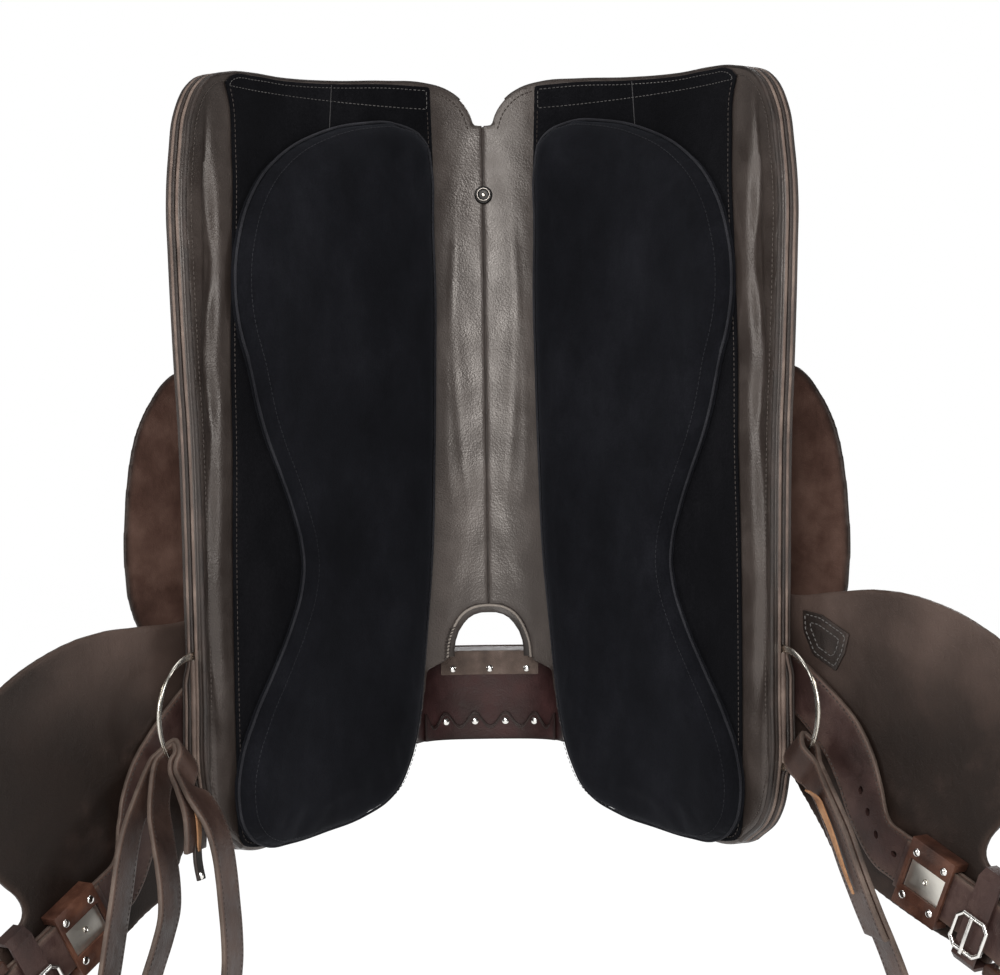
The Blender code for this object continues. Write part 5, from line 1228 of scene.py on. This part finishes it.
# Fenders: large flat leathers that swing on posts, each post on a webbing hanger.
# The off side one rests turned up a little and the near side one down, as they hang.
FENDER_SLOPE = math.radians(50.0)
FENDER_LEVEL = 0.0907805
FENDER_THICK = 0.005
FENDER_SPAN = 0.500
PIVOT = (0.153, -0.1016)
POST_HOLE = 0.0066
REST_SWING = math.radians(3.5)
FENDER_SHARES = rows_of(10000, -400, -328, -530, 32, -380, 392, 0, 522, 460, 372, 1240, -48, 2446, -378,
    3516, -368, 4442, -380, 5374, -576, 6350, -1004, 6800, -1328, 7120, -1868, 7150, -2668, 7040, -3368,
    6509, -3997, 6218, -4288, 6153, -4496, 6313, -4706, 6736, -4954, 6107, -6137, 5665, -5924, 5032, -5667,
    4347, -5337, 3769, -5018, 3257, -4746, 2780, -4068, 2180, -3208, 1580, -2268, 900, -1368, 300, -728)
FENDER_CORNERS = (19, 20)
PATCH = [(0.2905, -0.1335), (0.3105, -0.1380), (0.3390, -0.1545), (0.3330, -0.1700), (0.3225, -0.1835),
         (0.2990, -0.1700), (0.2900, -0.1500)]
FENDER_NAIL = (0.2722, -0.1371)
OUT = np.array([math.sin(FENDER_SLOPE), math.cos(FENDER_SLOPE), 0.0])
ACROSS = np.array([math.cos(FENDER_SLOPE), -math.sin(FENDER_SLOPE), 0.0])
FENDER_LEATHER = leather("fender_leather", (0.0046, 0.0029, 0.0023), (0.0110, 0.0062, 0.0046),
                         (0.0620, 0.0380, 0.0300), 0.50, pores=650.0, grain=0.30, creases=0.4,
                         patch=4.6, edge=(0.032, 0.019, 0.014), gloss=0.26)
# A painted highlight: a paler sheen on the fenders' upper parts, standing in for light falling from above.
PAINTED_SHEEN = (0.084, 0.057, 0.047)
PAINTED_SHEEN_HEIGHTS = (-0.235, -0.115)


def with_painted_sheen(paint):
    """Lay a painted highlight over a leather: a paler sheen in patches, fading downwards between two heights.
    """
    tree = paint.node_tree
    shader = tree.nodes["Principled BSDF"].inputs
    colour = shader["Base Color"].links[0].from_socket
    place = node(tree, "TexCoord").outputs["Object"]
    height = node(tree, "SeparateXYZ", {}, {"Vector": place}).outputs["Z"]
    fade = node(tree, "MapRange", dict(zip(("From Min", "From Max"), PAINTED_SHEEN_HEIGHTS)), {"Value": height},
                interpolation_type="SMOOTHSTEP").outputs["Result"]
    patches = spread_value(tree, noise(tree, place, 9.0, 4.0, 0.55), 0.15, 1.0)
    share = node(tree, "Math", {}, {0: fade, 1: patches}, operation="MULTIPLY").outputs[0]
    wire(tree, shader, {"Base Color": mixed(tree, share, colour, PAINTED_SHEEN)})


# The fenders get their painted highlight, paler towards the top.
with_painted_sheen(FENDER_LEATHER)


def on_fender(spots, side=1.0):
    """Carry flat places, rows of across, along and out, to a fender at its rest."""
    spots = np.asarray(spots, float)
    turn = np.array([side, 1.0, 1.0])
    pin = (PIVOT[0] * ACROSS + FENDER_LEVEL * OUT + np.array([0.0, 0.0, PIVOT[1]])) * turn
    made = spots[:, :1] * ACROSS + (FENDER_LEVEL + spots[:, 2:3]) * OUT
    made[:, 2] = spots[:, 1]
    swing = np.array(Matrix.Rotation(-REST_SWING, 3, Vector(OUT * turn)))
    return (made * turn - pin) @ swing.T + pin


def twinned(piece, place):
    """Two pieces from one cut flat: the off side one and the near side one."""
    flat = spots_of(piece)
    near = added(piece.name.replace("right", "left"), piece.data.copy())
    return [(label, side, put(one, place(flat, side))) for one, (side, label) in zip((piece, near), SIDES)]


def ring_of(radius, middle, points=16):
    turns = [2 * math.pi * step / points for step in range(points)]
    return [(middle[0] + radius * math.cos(turn), middle[1] + radius * math.sin(turn)) for turn in turns]


fender_cut = [(PIVOT[0] + FENDER_SPAN * one, PIVOT[1] + FENDER_SPAN * two) for one, two in FENDER_SHARES]
fender_line = traced(fender_cut, FENDER_CORNERS, 0.002)
fender = slab("fender_right_leather", [(fender_cut, FENDER_CORNERS), (ring_of(POST_HOLE, PIVOT), "all")], 0.0,
              FENDER_THICK, 0.0036, puff=2.0, wear=4)
rimmed(fender, spots_of(fender), fender_line, 0.0045)
fender_row = inset(fender_line, 0.007)
for label, side, piece in twinned(fender, on_fender):
    dress(piece, FENDER_LEATHER, f"fender_{label}")
    stitches(f"fender_stitches_{label}", fender_row, functools.partial(on_fender, side=side),
             FENDER_THICK + 0.0001, PALE_THREAD, HOMES[f"fender_{label}"])
    worn(f"hanger_{label}", "webbing", 0.0006, DARK_LEATHER)
nail_foot, nail_tip = on_fender([(*FENDER_NAIL, -0.0001), (*FENDER_NAIL, -0.001)], -1.0)
head("fender_left_nail", NAIL_PROFILE, nail_foot, nail_tip - nail_foot, STEEL, body=HOMES["fender_left"])
patch = slab("fender_patch", [(PATCH, "all")], -0.0016, -0.0001, 0.0016, puff=4.0, wear=2)
put(patch, on_fender(spots_of(patch)))
dress(patch, DARK_EDGE, body=HOMES["fender_right"])
patch_line = traced(PATCH, "all", 0.002)
for label, depth in (("outer", 0.0028), ("inner", 0.0085)):
    stitches(f"fender_patch_stitches_{label}", inset(patch_line, depth), on_fender, -0.0018,
             PALE_THREAD, HOMES["fender_right"], girth=0.0005)


# Stirrup leathers: a strap from each fender through its steel sleeve and round the bolt.
# A riveted keeper holds the sleeve, and a hobble strap buckles round strap and fender.
STRAP_TURN = math.radians(62.0)
SLEEVE = (PIVOT[0] + 0.5212 * FENDER_SPAN, PIVOT[1] - 0.4902 * FENDER_SPAN)
STRAP_HALF = 0.020
STRAP_THICK = 0.004
STRAP_NEAR = -2 * GAP - 0.0012 - STRAP_THICK / 2
STRAP_FAR = STRAP_NEAR - 0.006
SLEEVE_BACK = STRAP_FAR - STRAP_THICK / 2 - GAP - 0.0012
KEEPER_BACK = SLEEVE_BACK - GAP - 0.003
DOWN = (0.0, 0.0, -1.0)
RIVET_SIDE = 0.0185
RIVET_ALONG = 0.0145
RIVET_PROFILE = rows_of(10000, 0, 15, 14, 14, 29, 8, 34, 0, 0, 0)
DIMPLE_PROFILE = rows_of(10000, 0, 4, 9, 4, 14, 12, 22, 12, 28, 0, 0, 0)
STRAIGHT_TOP = -0.052
FREE_END = -0.030
LOOP_START = 0.064
BOLT_DOWN = 0.086
BOLT_OUT = (STRAP_NEAR + STRAP_FAR) / 2
LOOP_RADIUS = 0.004 + GAP + STRAP_THICK / 2
LOOP_LEAD = math.radians(25.0)
REAR_EDGE_SHARES = rows_of(10000, 2380, -1228, 2940, -1608, 3440, -2028, 3880, -2488, 4140, -2968, 4270,
    -3428)
FRONT_EDGE_SHARES = rows_of(10000, 1900, -1908, 2380, -2228, 2780, -2568, 3140, -3008, 3370, -3468, 3580,
    -4028)
HOLE_STOPS = [0.134, 0.152, 0.171, 0.194, 0.219]
HOLE_LONG = 0.0062
HOLE_WIDE = 0.0024
STRAP_LEATHER = leather("strap_leather", (0.017, 0.0088, 0.0078), (0.040, 0.0205, 0.0180),
                        (0.086, 0.052, 0.043), 0.46, pores=800.0, grain=0.3, creases=0.5,
                        patch=18.0, edge=(0.105, 0.066, 0.050), gloss=0.32)
CUT_LEATHER = leather("cut_leather", (0.035, 0.024, 0.019), (0.080, 0.055, 0.043),
                      (0.150, 0.110, 0.088), 0.6, pores=1500.0, grain=0.5, creases=0.7, patch=30.0)
RED_LEATHER = leather("red_leather", (0.022, 0.0090, 0.0062), (0.064, 0.025, 0.0155),
                      (0.150, 0.064, 0.038), 0.44, pores=800.0, grain=0.3, creases=0.5,
                      patch=26.0, edge=(0.020, 0.012, 0.010), gloss=0.35)


def run_of(stations, step=0.0012):
    """A strap's smooth run through its stations: distance, middle, half width and face out."""
    rows = np.array([[*place, *wide] for place, wide in stations])
    reach = np.concatenate([[0.0], np.cumsum(np.linalg.norm(np.diff(rows[:, :3], axis=0), axis=1))])
    slopes = np.gradient(rows, reach, axis=0)
    stops = np.linspace(0.0, reach[-1], int(reach[-1] / step) + 1)
    left = np.clip(np.searchsorted(reach, stops, side="right") - 1, 0, len(reach) - 2)
    span = (reach[left + 1] - reach[left])[:, None]
    part = (stops - reach[left])[:, None] / span
    made = ((1 + 2 * part) * (1 - part) ** 2 * rows[left] + part * (1 - part) ** 2 * span * slopes[left]
            + part ** 2 * (3 - 2 * part) * rows[left + 1] - part ** 2 * (1 - part) * span * slopes[left + 1])
    middles, wides = made[:, :3], made[:, 3:]
    length = np.concatenate([[0.0], np.cumsum(np.linalg.norm(np.diff(middles, axis=0), axis=1))])
    outs = np.cross(np.gradient(middles, length, axis=0), wides)
    outs /= np.linalg.norm(outs, axis=1)[:, None]
    return length, middles, wides, outs


def on_run(run, rows):
    """Places on a strap: distance along it, share of its half width, and rise off its middle."""
    length, middles, wides, outs = run
    rows = np.asarray(rows, float)

    def at(table):
        return np.stack([np.interp(rows[:, 0], length, column) for column in table.T], axis=1)

    return at(middles) + at(wides) * rows[:, 1:2] + at(outs) * rows[:, 2:3]


def strap(name, run, thick, paint, carry=None, edge=0.0011, cell=0.004, rim=CUT_LEATHER):
    """A flat strap along its run: a grid laid on it, given thickness and worn round edges."""
    only()
    bpy.ops.mesh.primitive_grid_add(x_subdivisions=max(4, int(run[0][-1] / cell)), y_subdivisions=8,
                                    size=2.0)
    piece = bpy.context.object
    piece.name = name
    flat = spots_of(piece)
    spots = on_run(run, level(flat[:, :2] * (0.5 * run[0][-1], 1.0) + (0.5 * run[0][-1], 0.0), 0.0))
    put(piece, carry(spots) if carry else spots)
    marked(piece, np.clip((np.abs(flat[:, 1]) - 0.74) / 0.26, 0.0, 0.6))
    piece.data.materials.append(paint)
    piece.data.materials.append(rim)
    return thickened(piece, thick, edge, 55.0, 2, rim=1)


def thong(name, run, thick, paint, part, carry=None, edge=0.0012, cell=0.003, body=None, rim=CUT_LEATHER):
    """A finished strap, dressed for its node or only put on a body."""
    piece = strap(name, run, thick, paint, carry, edge, cell, rim)
    return dress(piece, paint, *part, body=body, keep=True)


def on_strap(wide, out, down):
    """A place in the strap's own frame, as a flat place on the fender."""
    turn, lean = math.cos(STRAP_TURN), math.sin(STRAP_TURN)
    return (SLEEVE[0] + wide * turn + down * lean, SLEEVE[1] + wide * lean - down * turn, out)


def punched(piece, run, stops, carry):
    """Cut oblong holes through a strap along its middle."""
    cutters = []
    for stop in stops:
        only()
        bpy.ops.mesh.primitive_cylinder_add(vertices=16, radius=1.0, depth=1.0)
        cutter = bpy.context.object
        flat = spots_of(cutter)
        rows = np.stack([stop + flat[:, 0] * HOLE_LONG / 2, flat[:, 1] * HOLE_WIDE / STRAP_HALF,
                         flat[:, 2] * 4 * STRAP_THICK], axis=1)
        cutters.append(outward(put(cutter, carry(on_run(run, rows)))))
    only(cutters[0])
    for cutter in cutters:
        cutter.select_set(True)
    bpy.ops.object.join()
    step = piece.modifiers.new("holes", "BOOLEAN")
    step.solver = "EXACT"
    step.object = cutters[0]
    outward(piece)
    apply_all(piece)
    bpy.data.objects.remove(cutters[0], do_unlink=True)
    return piece


stations = []
for rear, front in zip(REAR_EDGE_SHARES, FRONT_EDGE_SHARES):
    one, two = (np.array([PIVOT[0] + FENDER_SPAN * spot[0], PIVOT[1] + FENDER_SPAN * spot[1], STRAP_NEAR])
                for spot in (rear, front))
    stations.append(((one + two) / 2, (one - two) / 2))
path = [(STRAP_NEAR, STRAIGHT_TOP + (LOOP_START - STRAIGHT_TOP) * step / 12) for step in range(13)]
for step in range(13):
    turn = -LOOP_LEAD + (math.pi + 2 * LOOP_LEAD) * step / 12
    path.append((BOLT_OUT + LOOP_RADIUS * math.cos(turn), BOLT_DOWN + LOOP_RADIUS * math.sin(turn)))
path += [(STRAP_FAR, LOOP_START + (FREE_END - LOOP_START) * step / 10) for step in range(11)]
half_wide = np.array(on_strap(STRAP_HALF, 0.0, 0.0)) - np.array(on_strap(0.0, 0.0, 0.0))
stations += [(np.array(on_strap(0.0, out, down)), half_wide) for out, down in path]
leather_run = run_of(stations)
for side, label in SIDES:
    body = HOMES[f"stirrup_leather_{label}"]
    carried = functools.partial(on_fender, side=side)
    piece = strap(f"stirrup_leather_{label}_strap", leather_run, STRAP_THICK, STRAP_LEATHER, carried)
    punched(piece, leather_run, HOLE_STOPS, carried)
    dress(piece, STRAP_LEATHER, f"stirrup_leather_{label}", keep=True)
    for edge, sign in (("rear", 1.0), ("front", -1.0)):
        line = np.array([(0.012, 0.0176 * sign), (0.226, 0.0176 * sign)])
        stitches(f"stirrup_leather_{edge}_stitches_{label}", line,
                 lambda rows: carried(on_run(leather_run, rows / (1.0, STRAP_HALF, 1.0))),
                 -STRAP_THICK / 2 - 0.0001, DARK_EDGE, body, girth=0.0005)
    worn(f"sleeve_{label}", "steel", 0.0005, SATIN_METAL)
    worn(f"keeper_{label}", "leather", 0.0009, RED_LEATHER, segments=3)
    for count, (wide, down) in enumerate(((1, 1), (1, -1), (-1, -1), (-1, 1)), start=1):
        head(f"keeper_rivet_{label}_{count}", RIVET_PROFILE,
             on_strap(wide * RIVET_SIDE, KEEPER_BACK + 0.0001, down * RIVET_ALONG), DOWN, BRIGHT_METAL,
             body=HOMES[f"keeper_{label}"], carry=carried)
    head(f"sleeve_dimple_{label}", DIMPLE_PROFILE, on_strap(0.0, SLEEVE_BACK, 0.0), DOWN, STEEL,
         body=HOMES[f"sleeve_{label}"], steps=24, carry=carried)
    worn(f"hobble_strap_{label}", "leather", 0.0008, STRAP_LEATHER, segments=3)
    worn(f"hobble_buckle_{label}", "steel", 0.0003, BRIGHT_METAL, angle=70.0, corner=20.0)
    worn(f"buckle_tongue_{label}", "steel", 0.0003, BRIGHT_METAL)


# Stirrups: bells of wood wrapped in leather, hung on bolts through the leathers' loops.
# The wrap's edges are sewn along both sides.
STIRRUP_THICK = 0.010
STIRRUP_SPAN = 0.100
STIRRUP_SHARES = rows_of(1000, 290, 760, 110, 290, 860, 120, 295, 1000, 130, 360, 1250, 160, 500, 1520, 200,
    610, 1800, 240, 655, 2080, 250, 640, 2260, 250, 570, 2370, 250, 450, 2400, 250, wide=3)
half = [tuple(STIRRUP_SPAN * one for one in row) for row in STIRRUP_SHARES]
whole = half + [(-wide, down, deep) for wide, down, deep in reversed(half)]
stirrup_run = run_of([(np.array(on_strap(wide, BOLT_OUT, down)), np.array([0.0, 0.0, -deep]))
                      for wide, down, deep in whole])
for side, label in SIDES:
    carried = functools.partial(on_fender, side=side)
    thong(f"stirrup_{label}_leather", stirrup_run, STIRRUP_THICK, RED_LEATHER, [f"stirrup_{label}"],
          carried, edge=0.0034, cell=0.005, rim=RED_LEATHER)
    worn(f"stirrup_bolt_{label}", "steel", 0.0006, STEEL)


# Latigo and billet: long oiled straps hung over the rigging rings, doubled back on themselves.
# A raw lace keeps each one's short end, which a small loop and stud also hold on the near side.
RING_TURN = math.radians(50.0)
RING_SLOPE = math.radians(60.0)
RING_OUT = np.array([math.sin(RING_SLOPE), math.cos(RING_SLOPE), 0.0])
RING_ACROSS = np.array([math.cos(RING_SLOPE), -math.sin(RING_SLOPE), 0.0])
HANG_SPAN = 0.500
HANG_HALF = 0.020
BAR_HALF = 0.015
HANG_TURN = math.radians(75.0)
HANG_WIDE = np.array([math.cos(HANG_TURN), -math.sin(HANG_TURN), 0.0])
LATIGO_THICK = 0.004
BILLET_PITCH = 0.0048
LATIGO_SHARES = [
    (0.4600, -0.5000, -0.6060), (0.4610, -0.4980, -0.5500), (0.0240, -0.0150), (0.0000, -0.0124),
    (-0.0200, 0.0000), (0.0000, 0.0132), (0.0240, 0.0170), (0.5240, -0.4440, -0.5500),
    (0.5080, -0.4860, -0.6200), (0.5000, -0.5100, -0.7000), (0.5240, -0.5300, -0.7900),
    (0.5560, -0.5400, -0.9000), (0.5800, -0.5440, -1.0100), (0.5930, -0.5460, -1.0600),
    (0.6060, -0.5470, -1.0760), (0.6190, -0.5480, -1.0600), (0.6180, -0.5480, -1.0000),
    (0.6040, -0.5460, -0.8800), (0.5880, -0.5420, -0.7800), (0.5700, -0.5320, -0.6600),
    (0.5580, -0.5000, -0.5700), (0.0260, 0.0290), (0.0000, 0.0224), (-0.0278, 0.0000),
    (0.0000, -0.0224), (0.0260, -0.0270), (0.4580, -0.4720, -0.5240), (0.4330, -0.4860, -0.5600),
    (0.4180, -0.4860, -0.6100), (0.4100, -0.4800, -0.6900), (0.4060, -0.4780, -0.7800),
    (0.4160, -0.4820, -0.8800), (0.4280, -0.4880, -1.0000)]
BILLET_SHARES = [
    (0.0280, 0.0000), (0.5260, -0.4800, -0.5360), (0.5420, -0.5140, -0.5800),
    (0.5600, -0.5360, -0.6400), (0.5850, -0.5480, -0.7100), (0.6120, -0.5540, -0.7800),
    (0.6440, -0.5580, -0.8800), (0.6700, -0.5620, -0.9800)]
BILLET_SHORT = 5
BILLET_EYE_SHARES = rows_of(10000, 0, -134, -260, 0, 0, 134)
LACE_THICK = 0.0015
LACE_BAR = 0.003
LATIGO_LACE_HALVES = (0.0022, 0.0040, 0.0042, 0.0034)
BILLET_LACE_HALVES = (0.0050, 0.0062, 0.0060, 0.0050, 0.0040, 0.0030, 0.0018)
TAB_PLACES = [(0.2285, -0.2500, -0.2960), (0.2275, -0.2520, -0.3120), (0.2250, -0.2530, -0.3250)]
TAB_HALF = 0.0065
TAB_THICK = 0.0030
TAB_STUD = (-0.2255, -0.2560, -0.3215)
LACE_CURL = (0.4960, -0.5000, -0.5240)
BAR_SPOT = np.array([0.2501, -0.2014, -0.2400])
BAR_DOWN = RING_ACROSS * math.cos(RING_TURN) - np.array([0.0, 0.0, math.sin(RING_TURN)])
BAR_WIDE = RING_ACROSS * math.sin(RING_TURN) + np.array([0.0, 0.0, math.cos(RING_TURN)])
LACE_LEATHER = leather("lace_leather", (0.16, 0.070, 0.030), (0.34, 0.170, 0.080), (0.50, 0.290, 0.160),
                       0.8, pores=1500.0, grain=0.6, creases=0.8, patch=40.0)
TIED_LEATHER = leather("tied_leather", (0.020, 0.0105, 0.0082), (0.044, 0.0235, 0.0180),
                       (0.088, 0.052, 0.040), 0.48, pores=800.0, grain=0.3, creases=0.5,
                       patch=15.0, edge=(0.125, 0.082, 0.064), gloss=0.28)


def hung(rows):
    """Stations of a hanging strap: its middle and half its width."""
    made = []
    for row in rows:
        if len(row) == 2:
            place = BAR_SPOT + BAR_DOWN * (HANG_SPAN * row[0]) + RING_OUT * (HANG_SPAN * row[1])
            made.append((place, BAR_WIDE * BAR_HALF))
        else:
            made.append((np.array(row) * HANG_SPAN, HANG_WIDE * HANG_HALF))
    return made


def eased(stations, steps=2):
    """The CAD's own smooth run through the stations, with steps between each two."""
    rows = np.array([[*place, *wide] for place, wide in stations])
    rows = np.vstack([2 * rows[0] - rows[1], rows, 2 * rows[-1] - rows[-2]])
    made = []
    for place in range(1, len(rows) - 2):
        one, two, three, four = rows[place - 1:place + 3]
        for step in range(steps):
            part = step / steps
            blend = (2 * two + (three - one) * part
                     + (2 * one - 5 * two + 4 * three - four) * part ** 2
                     + (3 * two - one - 3 * three + four) * part ** 3) / 2
            made.append((blend[:3], blend[3:]))
    made.append((rows[-2][:3], rows[-2][3:]))
    return made


def laid_on(run, stations, lift):
    """Places over a strap's face towards the spine, at stations of its run."""
    made = []
    for place in stations:
        ahead = run[place + 1][0] - run[max(place - 1, 0)][0]
        out = np.cross(ahead, run[place][1])
        out /= np.linalg.norm(out)
        made.append(run[place][0] - math.copysign(1.0, out[0]) * out * (LATIGO_THICK / 2 + GAP + lift))
    return made


def near_side(spots):
    return spots * (-1.0, 1.0, 1.0)


def edge_stitches(node, run, carry):
    """Rows of dark stitches along both edges of a hanging strap, on both of its faces."""
    for edge, wide in (("rear", 0.0160), ("front", -0.0160)):
        for face, rise in (("inner", 0.0002 - LATIGO_THICK / 2), ("outer", LATIGO_THICK / 2 - 0.0002)):
            line = np.array([(0.004, wide), (run[0][-1] - 0.004, wide)])
            stitches(f"{node}_{edge}_{face}_stitches", line,
                     lambda rows: carry(on_run(run, rows / (1.0, HANG_HALF, 1.0))), rise, DARK_EDGE,
                     HOMES[node], girth=0.0004)


stations = eased(hung(LATIGO_SHARES))
latigo_run = run_of(stations)
thong("latigo_strap", latigo_run, LATIGO_THICK, TIED_LEATHER, ["latigo"], near_side)
places = laid_on(stations, range(4), LACE_THICK / 2)
lace = [(spot, HANG_WIDE * wide) for spot, wide in zip(places, LATIGO_LACE_HALVES)]
thong("latigo_lace_thong", run_of(lace), LACE_THICK, LACE_LEATHER, ["latigo_lace"], near_side,
      edge=0.0004, cell=0.002, rim=LACE_LEATHER)
edge_stitches("latigo", latigo_run, near_side)
tab = [(np.array(place), HANG_WIDE * TAB_HALF) for place in TAB_PLACES]
thong("latigo_tab", run_of(tab), TAB_THICK, DARK_EDGE, [], near_side, edge=0.0006, cell=0.002,
      body=HOMES["latigo"], rim=DARK_EDGE)
head("latigo_tab_stud", RIVET_PROFILE, TAB_STUD, (0.0, -1.0, 0.0), BRIGHT_METAL, body=HOMES["latigo"])
run = eased(hung(BILLET_SHARES))
layers = []
for place, (spot, wide) in enumerate(run):
    ahead = run[min(place + 1, len(run) - 1)][0] - run[max(place - 1, 0)][0]
    out = np.cross(ahead, wide)
    out *= BILLET_PITCH / 2 / np.linalg.norm(out)
    if out @ RING_OUT < 0.0:
        out = -out
    layers.append((spot, wide, out))
near_layer = [(spot - out, wide) for spot, wide, out in layers[:2 * BILLET_SHORT]]
far_layer = [(spot + out, wide) for spot, wide, out in layers]
billet_run = run_of(list(reversed(near_layer)) + hung(BILLET_EYE_SHARES) + far_layer)
thong("billet_strap", billet_run, LATIGO_THICK, TIED_LEATHER, ["billet"])
places = [np.array(LACE_CURL) * HANG_SPAN] + laid_on(near_layer, range(2, 8), LACE_BAR - LACE_THICK / 2)
lace = [(spot, HANG_WIDE * wide) for spot, wide in zip(places, BILLET_LACE_HALVES)]
thong("billet_lace_thong", run_of(lace), LACE_THICK, LACE_LEATHER, ["billet_lace"], edge=0.0004,
      cell=0.002, rim=LACE_LEATHER)
edge_stitches("billet", billet_run, lambda spots: spots)
